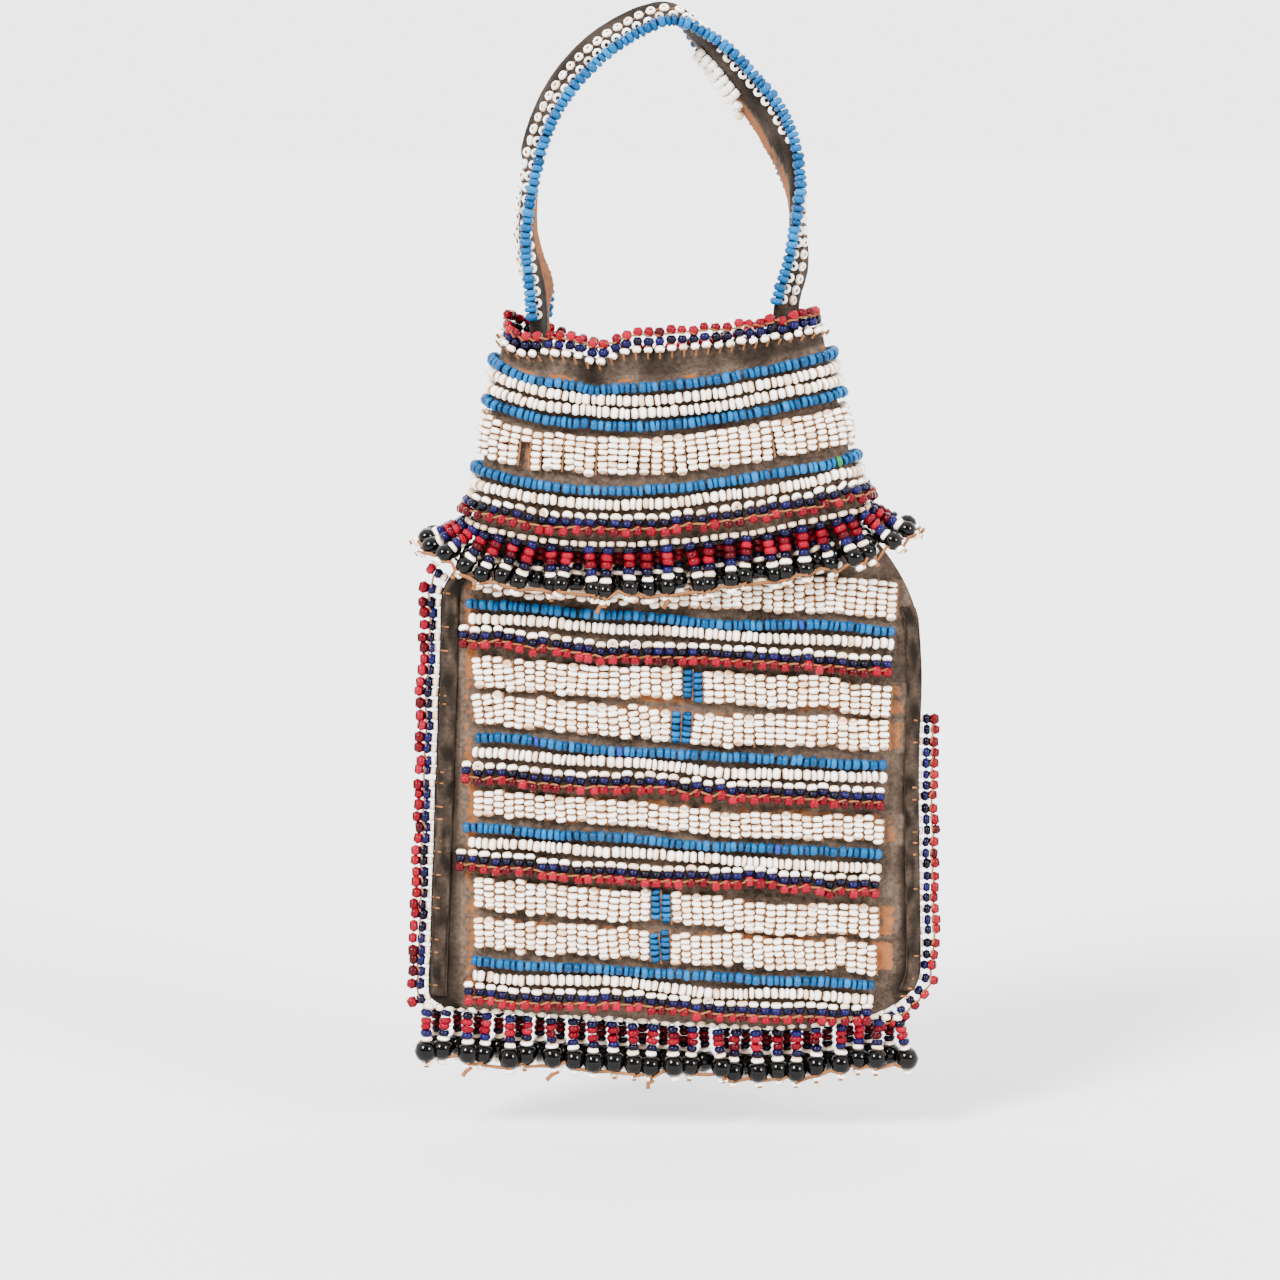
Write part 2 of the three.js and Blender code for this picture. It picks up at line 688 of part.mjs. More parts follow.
function addBand({ number, start, height, tick }) {
  const right = rowRight(start);
  const columnsIn = (from, to) => Math.round((to - from) / COLUMN_PITCH);
  const run = (suffix, from, to, columns, material) => {
    addPiece(pouch, `${suffix}_${number}`, bandRun(from, to, columns, start, height), material);
  };
  if (tick === undefined) {
    run('white_band', rowLeft, right, columnsIn(rowLeft, right), whiteBeads);
    return;
  }
  const halfTick = (TICK_COLUMNS * COLUMN_PITCH) / 2;
  const leftEnd = tick - halfTick - GAP;
  const rightStart = tick + halfTick + GAP;
  run('white_band_left', rowLeft, leftEnd, columnsIn(rowLeft, leftEnd), whiteBeads);
  run('blue_tick', tick - halfTick, tick + halfTick, TICK_COLUMNS, blueBeads);
  run('white_band_right', rightStart, right, columnsIn(rightStart, right), whiteBeads);
}

for (const piece of pieces) {
  const middle = piece.start + piece.height / 2;
  if (piece.kind === 'band') addBand(piece);
  if (piece.kind === 'blue') {
    addPiece(pouch, `blue_row_${piece.number}`, bodyRow(ridge(middle, BEAD, BEAD), middle), blueBeads);
  }
  if (piece.kind === 'white') {
    addPiece(pouch, `white_row_${piece.number}`, bodyRow(ridge(middle, BEAD, BEAD), middle), whiteBeads);
  }
  if (piece.kind === 'picot') {
    addPiece(pouch, `picot_row_${piece.number}`, bodyRow(picotSection(piece.start), middle), redBeads);
  }
}

// Side edgings: bead picots that stand out from the seams

function sideEdging(edge, outward, from, edgingEnd) {
  const stations = [from, ...panelLevels.filter((drop) => drop > from && drop <= edgingEnd)];
  const rings = stations.map((drop) => {
    const start = edge(drop) + Math.sign(outward) * GAP;
    const section = block(start, start + outward, -EDGING_THICKNESS / 2, EDGING_THICKNESS / 2);
    return section.map(([across, through]) =>
      new THREE.Vector3(across, through, MOUTH_Z - drop - ROW_SLOPE * across));
  });
  return loft(rings);
}

const leftEdging = sideEdging(leftEdge, -EDGING_WIDTH, borderTop, leftCornerTop);
const rightEdging = sideEdging(rightEdge, EDGING_WIDTH, borderTop + RIGHT_EDGING_START, cornerTop);
addPiece(pouch, 'left_edging', leftEdging, navyBeads);
addPiece(pouch, 'right_edging', rightEdging, navyBeads);

// Bottom fringe: its row follows the hem from the left corner and on round the right one
function hemLine() {
  const bottom = steps(leftEdge(POUCH_BOTTOM), rightEdge(POUCH_BOTTOM), HEM_STEPS);
  const corner = cornerLevels.slice(0, -1).toReversed();
  const below = GAP + BEAD / 2;
  const points = [
    new THREE.Vector2(leftEdge(leftCornerTop), POUCH_BOTTOM + below),
    ...bottom.slice(1).map((across) => new THREE.Vector2(across, POUCH_BOTTOM + below)),
    ...corner.map((drop) => new THREE.Vector2(rightEdge(drop) + below * CORNER_REACH, drop + below)),
  ];
  return points.map(({ x, y }) => new THREE.Vector3(x, 0, MOUTH_Z - y - ROW_SLOPE * x));
}

function bottomFringe() {
  const points = hemLine();
  const section = block(-BEAD / 2, BEAD / 2, -BEAD / 2, BEAD / 2);
  const rings = points.map((point) => section.map(([down, out]) =>
    point.clone().add(new THREE.Vector3(0, -out, -down))));
  const first = points[0].x + STRAND_THICKNESS;
  const last = points.at(-1).x - STRAND_THICKNESS;
  const count = Math.round((last - first) / STRAND_PITCH);
  const strands = steps(first, last, count).map((across) => {
    const after = points.findIndex((point) => point.x >= across);
    const [left, right] = points.slice(after - 1, after + 1);
    const top = left.clone().lerp(right, (across - left.x) / (right.x - left.x));
    return strand(top, new THREE.Vector3(0, 0, -1));
  });
  return join([loft(rings), ...strands]);
}

addPiece(pouch, 'bottom_fringe', bottomFringe(), blackBeads);

export default bag;
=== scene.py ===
"""Looks of the beaded tobacco bag: worn hide, strung and sewn glass beads, fringes and sinew thread.

Lengths are in millimetres, in the frame of the CAD part, and become metres when a mesh is made.
"""

import bisect
import math
import random

import bpy
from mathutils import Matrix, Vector, noise


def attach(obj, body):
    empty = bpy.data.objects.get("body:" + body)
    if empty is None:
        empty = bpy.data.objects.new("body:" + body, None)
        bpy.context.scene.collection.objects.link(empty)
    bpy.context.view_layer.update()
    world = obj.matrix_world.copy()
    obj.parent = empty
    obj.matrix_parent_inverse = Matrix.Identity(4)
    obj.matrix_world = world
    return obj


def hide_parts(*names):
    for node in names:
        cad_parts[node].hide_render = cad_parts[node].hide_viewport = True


MM = 0.001

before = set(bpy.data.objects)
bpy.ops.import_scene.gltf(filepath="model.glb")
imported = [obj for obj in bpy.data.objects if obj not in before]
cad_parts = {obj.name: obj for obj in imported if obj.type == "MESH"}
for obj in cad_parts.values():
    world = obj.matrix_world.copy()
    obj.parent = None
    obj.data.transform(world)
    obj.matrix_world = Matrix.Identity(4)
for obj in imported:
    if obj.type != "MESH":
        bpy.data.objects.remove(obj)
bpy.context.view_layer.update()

# Camera

CAMERA_LENS = 126.5
CAMERA_SENSOR = 36
CAMERA_PITCH = math.radians(6.5)
CAMERA_DISTANCE = 968
CAMERA_AIM = Vector((-6.0, 0, -131.5))


def add_camera():
    data = bpy.data.cameras.new("camera")
    data.lens = CAMERA_LENS
    data.sensor_width = CAMERA_SENSOR
    camera = bpy.data.objects.new("camera", data)
    forward = Vector((0, math.cos(CAMERA_PITCH), -math.sin(CAMERA_PITCH)))
    camera.location = (CAMERA_AIM - forward * CAMERA_DISTANCE) * MM
    camera.rotation_euler = (math.pi / 2 - CAMERA_PITCH, 0, 0)
    bpy.context.scene.collection.objects.link(camera)
    bpy.context.scene.camera = camera


# Hide, beads and the clearance between them

HIDE = 1.3
GAP = 0.3
BEAD = 2.4
BEAD_LENGTH = 1.33
STRUNG_LENGTH = 1.5
PICOT_HEIGHT = 5
PICOT_PITCH = 2.46
TIGHT_SPACE = 0.5

# Strap

STRAP_HEIGHT = 66.4
STRAP_WIDTH = 12
STRAP_THICKNESS = 3
MOUTH_Z = STRAP_THICKNESS / 2 - STRAP_HEIGHT
STRAP_TUCK = 12
LEFT_END_TWIST = -12
RIGHT_END_TWIST = 16
PATCH_FROM = 0.53
PATCH_TO = 0.63

# Part of the way between the seats, part of the height above the mouth, twist in degrees
STRAP_LINE = [
    (-0.052, 0.301, 2),
    (-0.03, 0.497, 9),
    (0.031, 0.67, 12),
    (0.146, 0.819, 15),
    (0.325, 0.94, 15),
    (0.534, 1, 8),
    (0.683, 0.913, -14),
    (0.831, 0.774, -27),
    (0.953, 0.636, -28),
    (1.025, 0.467, -15),
    (1.044, 0.354, 2),
    (1.04, 0.211, 14),
]

# Neck

MOUTH_HALF_WIDTH = 33.8
NECK_SPREAD = 8.2
MOUTH_HALF_DEPTH = 11
NECK_HALF_DEPTH = 10.5
NECK_SQUARENESS = 4
MOUTH_SAG = 3.4
NECK_SAG = 6
LOW_NECK_SAG = 5.3
SAG_TO_LEFT = 0.35
MOUTH_TILT = 0.5
NECK_TILT = 1.6
MOUTH_LEAN = -1.2
MOUTH_EDGING_HEIGHT = 4.4
BARE_HIDE_BELOW_MOUTH = 4
NECK_SPACE = 2.4
NECK_BAND_BEADS = 5
NECK_HEM = 0.6

# Pouch

ROW_SLOPE = 0.065
BODY_SPACE = 1.65
FIRST_BAND_BELOW_NECK = 9.4
POUCH_TUCK = 8
SHOULDER_HEIGHT = 15
POUCH_TOP_LEFT = 47.7
POUCH_TOP_RIGHT = 52.9
POUCH_BOTTOM_LEFT = 51.2
POUCH_BOTTOM_RIGHT = 54.8
LEFT_CORNER = 3
RIGHT_CORNER = 16
RIGHT_CORNER_WIDTH = 40
CORNER_LEVELS = [0.6, 0.3, 0.12, 0.03, 0]
CORNER_REACH = 0.5
POUCH_TOP_BULGE = 6.6
POUCH_LOW_BULGE = 4.6
HEM_TAPER = 22
HEM = 0.8
LEFT_BORDER_WIDTH = 3.6
RIGHT_BORDER_WIDTH = 3.2
ROW_INSET = 0.4
ROW_SHORTENING = 4.8
TICK_COLUMNS = 2
RIGHT_EDGING_START = 23
BODY_GROUPS = [
    [(6, None)],
    [(5, 5.5), (5, 3)],
    [(4, None)],
    [(5, -0.5), (5, -1.1)],
]

# Fringe

STRAND_PITCH = 4.4
STALK_LENGTH = 7.4
LARGE_BEAD = 4.1
SIDE_FLARE = 7.4
FRONT_FLARE = 0.8
EDGING_THICKNESS = 2.2


def lerp(start, end, share):
    return start + (end - start) * share


def clamp(value, low=0.0, high=1.0):
    return max(low, min(high, value))


def smoothstep(value, low, high):
    share = clamp((value - low) / (high - low))
    return share * share * (3 - 2 * share)


def spread(start, end, count):
    return [lerp(start, end, step / count) for step in range(count + 1)]


def rough(*place):
    return noise.noise(Vector(place))


# Heights down the neck, from the mouth's edge

UPPER_ROWS = [("blue", TIGHT_SPACE), ("white", TIGHT_SPACE), ("white", TIGHT_SPACE), ("blue", NECK_SPACE)]
neck_rows = []
neck_drop = BARE_HIDE_BELOW_MOUTH
for colour, space in UPPER_ROWS:
    neck_rows.append((colour, neck_drop + BEAD / 2))
    neck_drop += BEAD + space
neck_band_start = neck_drop
neck_drop += NECK_BAND_BEADS * BEAD_LENGTH + NECK_SPACE
for colour in ("blue", "white"):
    neck_rows.append((colour, neck_drop + BEAD / 2))
    neck_drop += BEAD + TIGHT_SPACE
neck_picot_start = neck_drop
fringe_row = neck_picot_start + PICOT_HEIGHT + TIGHT_SPACE + BEAD / 2
NECK_LENGTH = fringe_row + BEAD / 2 + NECK_HEM


def neck_half_width(drop):
    return MOUTH_HALF_WIDTH + NECK_SPREAD * (drop / NECK_LENGTH)


def signed_power(value, power):
    return math.copysign(abs(value) ** power, value)


def rounded(value):
    return signed_power(value, 2 / NECK_SQUARENESS)


# The mouth has slumped: its near edge in a few places, its far edge all along

NEAR_DIPS = [(-15.2, 3.6, 1.9), (-26, 12, 1.6), (-31.5, 4.5, 1.6)]
FAR_DIP = 4.2
DIP_REACH = 9


def mouth_dip(x, across, through, drop):
    near = sum(depth * math.exp(-(((x - place) / width) ** 2)) for place, width, depth in NEAR_DIPS)
    far = FAR_DIP * (1 - across * across) ** 1.5
    depth = near * clamp(-through * 4) + far * clamp(through * 4)
    return depth * (1 - smoothstep(drop, 0, DIP_REACH))


def neck_point(angle, drop, out):
    across = rounded(math.cos(angle))
    through = rounded(math.sin(angle))
    settle = smoothstep(drop, 0, BARE_HIDE_BELOW_MOUTH)
    ease = smoothstep(drop, BARE_HIDE_BELOW_MOUTH, NECK_LENGTH / 2)
    depth = lerp(MOUTH_SAG, lerp(NECK_SAG, LOW_NECK_SAG, ease), settle)
    sag = depth * (1 - across * across) * (1 - SAG_TO_LEFT * across)
    down = clamp(drop / NECK_LENGTH)
    rise = lerp(MOUTH_TILT, NECK_TILT, down) * across
    x = MOUTH_LEAN * (1 - down) + (neck_half_width(drop) + out) * across
    y = (lerp(MOUTH_HALF_DEPTH, NECK_HALF_DEPTH, down) + out) * through
    return Vector((x, y, MOUTH_Z - drop - sag + rise - mouth_dip(x, across, through, drop)))


# Strap line: a centripetal spline through its stations, and its twist

strap_clearance = HIDE / 2 + EDGING_THICKNESS / 2 + GAP


def strap_seat(twist):
    turn = math.radians(abs(twist))
    half_across = (STRAP_WIDTH * math.sin(turn) + STRAP_THICKNESS * math.cos(turn)) / 2
    half_through = (STRAP_WIDTH * math.cos(turn) + STRAP_THICKNESS * math.sin(turn)) / 2
    narrowing = (half_through / (MOUTH_HALF_DEPTH - strap_clearance)) ** NECK_SQUARENESS
    reach = (MOUTH_HALF_WIDTH - strap_clearance) * (1 - narrowing) ** (1 / NECK_SQUARENESS)
    return reach - half_across - 2 * GAP


over_edging = MOUTH_EDGING_HEIGHT + MOUTH_TILT + 2 * GAP
left_seat = MOUTH_LEAN - strap_seat(LEFT_END_TWIST)
right_seat = MOUTH_LEAN + strap_seat(RIGHT_END_TWIST)
strap_stations = [
    (left_seat, -STRAP_TUCK, LEFT_END_TWIST),
    (left_seat, over_edging, LEFT_END_TWIST),
    *((lerp(left_seat, right_seat, across), STRAP_HEIGHT * up, twist) for across, up, twist in STRAP_LINE),
    (right_seat, over_edging, RIGHT_END_TWIST),
    (right_seat, -STRAP_TUCK, RIGHT_END_TWIST),
]
strap_places = [Vector((x, 0, MOUTH_Z + rise)) for x, rise, _ in strap_stations]
strap_turns = [math.radians(turn) for _, _, turn in strap_stations]
strap_places = [2 * strap_places[0] - strap_places[1], *strap_places, 2 * strap_places[-1] - strap_places[-2]]
strap_turns = [strap_turns[0], *strap_turns, strap_turns[-1]]


def cubic(start, end, leave, arrive, t):
    bend = 3 * (end - start) - 2 * leave - arrive
    return start + leave * t + bend * t**2 + (2 * (start - end) + leave + arrive) * t**3


def strap_middle(along):
    spans = len(strap_stations) - 1
    span = min(int(along * spans), spans - 1)
    t = along * spans - span
    p0, p1, p2, p3 = strap_places[span : span + 4]
    d0, d1, d2 = (math.sqrt((b - a).length) for a, b in ((p0, p1), (p1, p2), (p2, p3)))
    leave = ((p1 - p0) / d0 - (p2 - p0) / (d0 + d1) + (p2 - p1) / d1) * d1
    arrive = ((p2 - p1) / d1 - (p3 - p1) / (d1 + d2) + (p3 - p2) / d2) * d1
    t0, t1, t2, t3 = strap_turns[span : span + 4]
    return cubic(p1, p2, leave, arrive, t), cubic(t1, t2, (t2 - t0) / 2, (t3 - t1) / 2, t)


def strap_axes(along):
    near = max(0, along - 1e-4)
    far = min(1, along + 1e-4)
    forward = (strap_middle(far)[0] - strap_middle(near)[0]).normalized()
    middle, turn = strap_middle(along)
    normal = Vector((-forward.z, 0, forward.x))
    back = Vector((0, math.cos(turn), 0)) + normal * math.sin(turn)
    face = normal * math.cos(turn) - Vector((0, math.sin(turn), 0))
    return middle, forward, back, face


def strap_point(along, width, out):
    middle, _, back, face = strap_axes(along)
    return middle + back * width + face * out


rows_from = 1 / (len(strap_stations) - 1)
rows_to = 1 - rows_from

# Heights down the pouch, from the mouth's edge

body_top = NECK_LENGTH + FIRST_BAND_BELOW_NECK
body_bands = []
body_rows = []
body_picots = []
body_drop = body_top
for bands in BODY_GROUPS:
    for beads, tick in bands:
        body_bands.append((beads, tick, body_drop))
        body_drop += beads * BEAD_LENGTH + BODY_SPACE
    for colour in ("blue", "white"):
        body_rows.append((colour, body_drop + BEAD / 2))
        body_drop += BEAD + TIGHT_SPACE
    body_picots.append(body_drop)
    body_drop += PICOT_HEIGHT + BODY_SPACE
POUCH_BOTTOM = body_drop - BODY_SPACE + HEM
side_start = NECK_LENGTH + SHOULDER_HEIGHT
slope_rise = ROW_SLOPE * neck_half_width(NECK_LENGTH) + NECK_TILT
corner_levels = [POUCH_BOTTOM - RIGHT_CORNER * share for share in CORNER_LEVELS]
corner_top, _, left_corner_top, *_ = corner_levels


def pouch_edge(drop, top, bottom, corner, corner_width, drop_at_edge):
    in_neck = neck_half_width(min(drop_at_edge, NECK_LENGTH)) - HIDE - 2 * GAP
    shoulder = smoothstep(drop_at_edge, NECK_LENGTH, side_start)
    side = lerp(top, bottom, clamp((drop - side_start) / (POUCH_BOTTOM - side_start)))
    into = clamp(corner - (POUCH_BOTTOM - drop), 0, corner)
    return lerp(in_neck, side, shoulder) - corner_width * (1 - math.sqrt(1 - (into / corner) ** 2))


def left_edge(drop):
    return -pouch_edge(drop, POUCH_TOP_LEFT, POUCH_BOTTOM_LEFT, LEFT_CORNER, LEFT_CORNER, drop - slope_rise)


def right_edge(drop):
    return pouch_edge(
        drop, POUCH_TOP_RIGHT, POUCH_BOTTOM_RIGHT, RIGHT_CORNER, RIGHT_CORNER_WIDTH, drop + slope_rise
    )


SEAM = GAP / 2 + HIDE


def bulge(drop):
    below = lerp(POUCH_TOP_BULGE, POUCH_LOW_BULGE, clamp((drop - body_top) / (POUCH_BOTTOM - body_top)))
    sewn_in = NECK_HALF_DEPTH - HIDE - GAP
    opened = lerp(sewn_in, below, smoothstep(drop, NECK_LENGTH - POUCH_TUCK / 4, body_top))
    return lerp(SEAM, opened, math.sqrt(clamp((POUCH_BOTTOM - drop) / HEM_TAPER)))


def pouch_depth(across, drop):
    left = left_edge(drop)
    right = right_edge(drop)
    side = clamp((2 * across - left - right) / (right - left), -1, 1)
    return SEAM + (bulge(drop) - SEAM) * (1 - abs(side) ** 3)


def pouch_point(across, drop, out):
    return Vector((across, -pouch_depth(across, drop) - out, MOUTH_Z - drop - ROW_SLOPE * across))


row_left = left_edge(side_start) + GAP + LEFT_BORDER_WIDTH + ROW_INSET
row_top_right = right_edge(side_start) - GAP - RIGHT_BORDER_WIDTH - ROW_INSET


def row_right(drop):
    return row_top_right - ROW_SHORTENING * (drop - body_top) / (POUCH_BOTTOM - body_top)


# Node trees

FULL_SPIN = 6.28


def pick(sockets, name):
    return next(found for found in sockets if found.name == name and found.enabled)


def output(node, name=None):
    if name:
        return pick(node.outputs, name)
    return next(found for found in node.outputs if found.enabled)


def feed(tree, target, value):
    """Links a socket to an input, or sets a plain value on it."""
    if isinstance(value, bpy.types.NodeSocket):
        tree.links.new(value, target)
    else:
        target.default_value = value


def add_node(tree, kind, inputs=None, **settings):
    node = tree.nodes.new(kind)
    for key, value in settings.items():
        setattr(node, key, value)
    for name, value in (inputs or {}).items():
        feed(tree, pick(node.inputs, name), value)
    return node


def made_by(tree, kind, inputs=None, **settings):
    """The first output of a new node."""
    return output(add_node(tree, kind, inputs, **settings))


def maths(tree, operation, *values, kind="ShaderNodeMath", **settings):
    node = add_node(tree, kind, operation=operation, **settings)
    for target, value in zip(node.inputs, values):
        feed(tree, target, value)
    return output(node)


def new_tree(name, inputs):
    tree = bpy.data.node_groups.new(name, "GeometryNodeTree")
    tree.interface.new_socket(name="Geometry", in_out="INPUT", socket_type="NodeSocketGeometry")
    for title, kind in inputs:
        tree.interface.new_socket(name=title, in_out="INPUT", socket_type="NodeSocket" + kind)
    tree.interface.new_socket(name="Geometry", in_out="OUTPUT", socket_type="NodeSocketGeometry")
    return tree, add_node(tree, "NodeGroupInput").outputs


def close_tree(tree, geometry, material):
    plain = made_by(tree, "GeometryNodeRealizeInstances", {"Geometry": geometry})
    smooth = made_by(tree, "GeometryNodeSetShadeSmooth", {"Geometry": plain})
    painted = made_by(tree, "GeometryNodeSetMaterial", {"Geometry": smooth, "Material": material})
    add_node(tree, "NodeGroupOutput", {"Geometry": painted})


def attribute(tree, name, data_type):
    node = add_node(tree, "GeometryNodeInputNamedAttribute", {"Name": name}, data_type=data_type)
    return output(node, "Attribute")


def circle(tree, steps, radius):
    return made_by(tree, "GeometryNodeCurvePrimitiveCircle", {"Resolution": steps, "Radius": radius})


def parts_to_vector(tree, x, y, z):
    return made_by(tree, "ShaderNodeCombineXYZ", {"X": x, "Y": y, "Z": z})


# Each point becomes a bead with a hole along its thread, of width and length 1 before it is scaled
def make_bead_tree():
    tree, given = new_tree(
        "sewn_beads",
        [
            ("Hole", "Float"),
            ("Steps Around", "Int"),
            ("Steps Across", "Int"),
            ("Roundness", "Float"),
            ("Rim Share", "Float"),
            ("Seed", "Int"),
            ("Material", "Material"),
        ],
    )
    ring = circle(tree, given["Steps Around"], maths(tree, "MULTIPLY_ADD", given["Hole"], 0.25, 0.25))
    wall = maths(tree, "MULTIPLY_ADD", given["Hole"], -0.25, 0.25)
    section = circle(tree, given["Steps Across"], 1.0)
    section_size = parts_to_vector(tree, wall, 0.5, 1.0)
    shaped = made_by(tree, "GeometryNodeTransform", {"Geometry": section, "Scale": section_size})
    swept = made_by(tree, "GeometryNodeCurveToMesh", {"Curve": ring, "Profile Curve": shaped})
    place = made_by(tree, "GeometryNodeInputPosition")
    height = maths(tree, "ABSOLUTE", output(add_node(tree, "ShaderNodeSeparateXYZ", {"Vector": place}), "Z"))
    # rim: how near a point lies to an end of the bead, where the glass darkens with joint dirt and painted
    # shade
    rim = maths(tree, "MULTIPLY", height, given["Rim Share"])
    marked = made_by(
        tree,
        "GeometryNodeStoreNamedAttribute",
        {"Geometry": swept, "Name": "rim", "Value": rim},
        data_type="FLOAT",
        domain="POINT",
    )
    narrowing = maths(tree, "MULTIPLY", maths(tree, "MULTIPLY", height, height), given["Roundness"])
    waist = maths(tree, "SUBTRACT", 1.0, narrowing)
    shrink = parts_to_vector(tree, waist, waist, 1.0)
    narrowed = maths(tree, "MULTIPLY", place, shrink, kind="ShaderNodeVectorMath")
    rounded_bead = made_by(tree, "GeometryNodeSetPosition", {"Geometry": marked, "Position": narrowed})
    thread = attribute(tree, "thread", "FLOAT_VECTOR")
    aligned = made_by(tree, "FunctionNodeAlignRotationToVector", {"Vector": thread}, axis="Z")
    spins = {"Min": 0.0, "Max": FULL_SPIN, "Seed": given["Seed"]}
    spin = made_by(tree, "FunctionNodeRandomValue", spins, data_type="FLOAT")
    turn = made_by(tree, "FunctionNodeAxisAngleToRotation", {"Axis": (0, 0, 1), "Angle": spin})
    turns = {"Rotation": aligned, "Rotate By": turn}
    turned = made_by(tree, "FunctionNodeRotateRotation", turns, rotation_space="LOCAL")
    girth = attribute(tree, "girth", "FLOAT")
    size = parts_to_vector(tree, girth, girth, attribute(tree, "span", "FLOAT"))
    strung = made_by(
        tree,
        "GeometryNodeInstanceOnPoints",
        {"Points": given["Geometry"], "Instance": rounded_bead, "Rotation": turned, "Scale": size},
    )
    close_tree(tree, strung, given["Material"])
    return tree


# Each chain of edges becomes a round thread
def make_thread_tree():
    tree, given = new_tree(
        "sinew_thread", [("Diameter", "Float"), ("Sides", "Int"), ("Material", "Material")]
    )
    line = made_by(tree, "GeometryNodeMeshToCurve", {"Mesh": given["Geometry"]})
    section = circle(tree, given["Sides"], maths(tree, "MULTIPLY", given["Diameter"], 0.5))
    swept = made_by(
        tree, "GeometryNodeCurveToMesh", {"Curve": line, "Profile Curve": section, "Fill Caps": True}
    )
    close_tree(tree, swept, given["Material"])
    return tree


def grow(piece, tree, values):
    """Runs a node tree on a piece, and keeps the plain mesh that it makes."""
    modifier = piece.modifiers.new(tree.name, "NODES")
    modifier.node_group = tree
    for item in tree.interface.items_tree:
        if item.in_out == "INPUT" and item.name in values:
            modifier[item.identifier] = values[item.name]
    bpy.context.view_layer.update()
    graph = bpy.context.evaluated_depsgraph_get()
    made = bpy.data.meshes.new_from_object(piece.evaluated_get(graph), depsgraph=graph)
    piece.modifiers.remove(modifier)
    piece.data = made
    made.name = piece.name


def add_piece(name, points, edges=(), faces=()):
    mesh = bpy.data.meshes.new(name)
    mesh.from_pydata([point * MM for point in points], edges, faces)
    piece = bpy.data.objects.new(name, mesh)
    bpy.context.scene.collection.objects.link(piece)
    return piece


def seat(piece, replaced=()):
    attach(piece, "root")
    if replaced:
        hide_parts(*replaced)


# Materials, with their patterns in grains a metre

BEAD_STAINS = 260.0
HIDE_PATCHES = 90.0
HIDE_SPECKS = 1100.0
HIDE_CRACKS = 330.0
HIDE_FRAY = 420.0
HIDE_PORES = 620.0
GRAIN_ROUGHNESS = 0.6
RIM_EDGE = 0.46


def new_material(name):
    material = bpy.data.materials.new(name)
    material.use_nodes = True
    tree = material.node_tree
    return material, tree, next(node for node in tree.nodes if node.type == "BSDF_PRINCIPLED")


def opaque(colour):
    return colour if isinstance(colour, bpy.types.NodeSocket) else (*colour, 1)


def blend_colour(tree, share, first, second):
    blend = {"Factor": share, "A": opaque(first), "B": opaque(second)}
    return made_by(tree, "ShaderNodeMix", blend, data_type="RGBA")


def reading(tree, name):
    return output(add_node(tree, "ShaderNodeAttribute", attribute_name=name), "Fac")


def ranged(tree, value, low, high, to_low=0.0, to_high=1.0):
    limits = {"From Min": low, "From Max": high, "To Min": to_low, "To Max": to_high}
    return made_by(tree, "ShaderNodeMapRange", {"Value": value, **limits})


def object_place(tree):
    return output(add_node(tree, "ShaderNodeTexCoord"), "Object")


def grain(tree, scale, detail=3.0):
    pattern = {"Vector": object_place(tree), "Scale": scale, "Detail": detail, "Roughness": GRAIN_ROUGHNESS}
    return made_by(tree, "ShaderNodeTexNoise", pattern)


def ramp(tree, value, stops):
    node = add_node(tree, "ShaderNodeValToRGB", {"Fac": value})
    points = node.color_ramp.elements
    while len(points) < len(stops):
        points.new(0.5)
    for point, (place, colour) in zip(points, stops):
        point.position = place
        point.color = (*colour, 1)
    return output(node, "Color")


# Glass beads: each bead has its own tint and stains, and toward its ends, where one bead meets the next, a
# darker colour that is partly dirt in the joint and partly painted shade
def bead_material(name, stops, dirt_and_shade, roughness, gloss, rim_dirt_and_shade_from):
    material, tree, surface = new_material(name)
    tint = ramp(tree, reading(tree, "tint"), stops)
    # Toward each end of a bead the colour blends to the darker colour: dirt in the joint and painted shade
    rim_dirt_and_shade = ranged(tree, reading(tree, "rim"), rim_dirt_and_shade_from, RIM_EDGE, 0.0, 0.92)
    stain = ranged(tree, grain(tree, BEAD_STAINS), 0.58, 0.76, 0.0, 0.4)
    stained = blend_colour(tree, stain, tint, dirt_and_shade)
    tree.links.new(blend_colour(tree, rim_dirt_and_shade, stained, dirt_and_shade), surface.inputs["Base Color"])
    surface.inputs["Roughness"].default_value = roughness
    surface.inputs["Specular IOR Level"].default_value = gloss
    return material


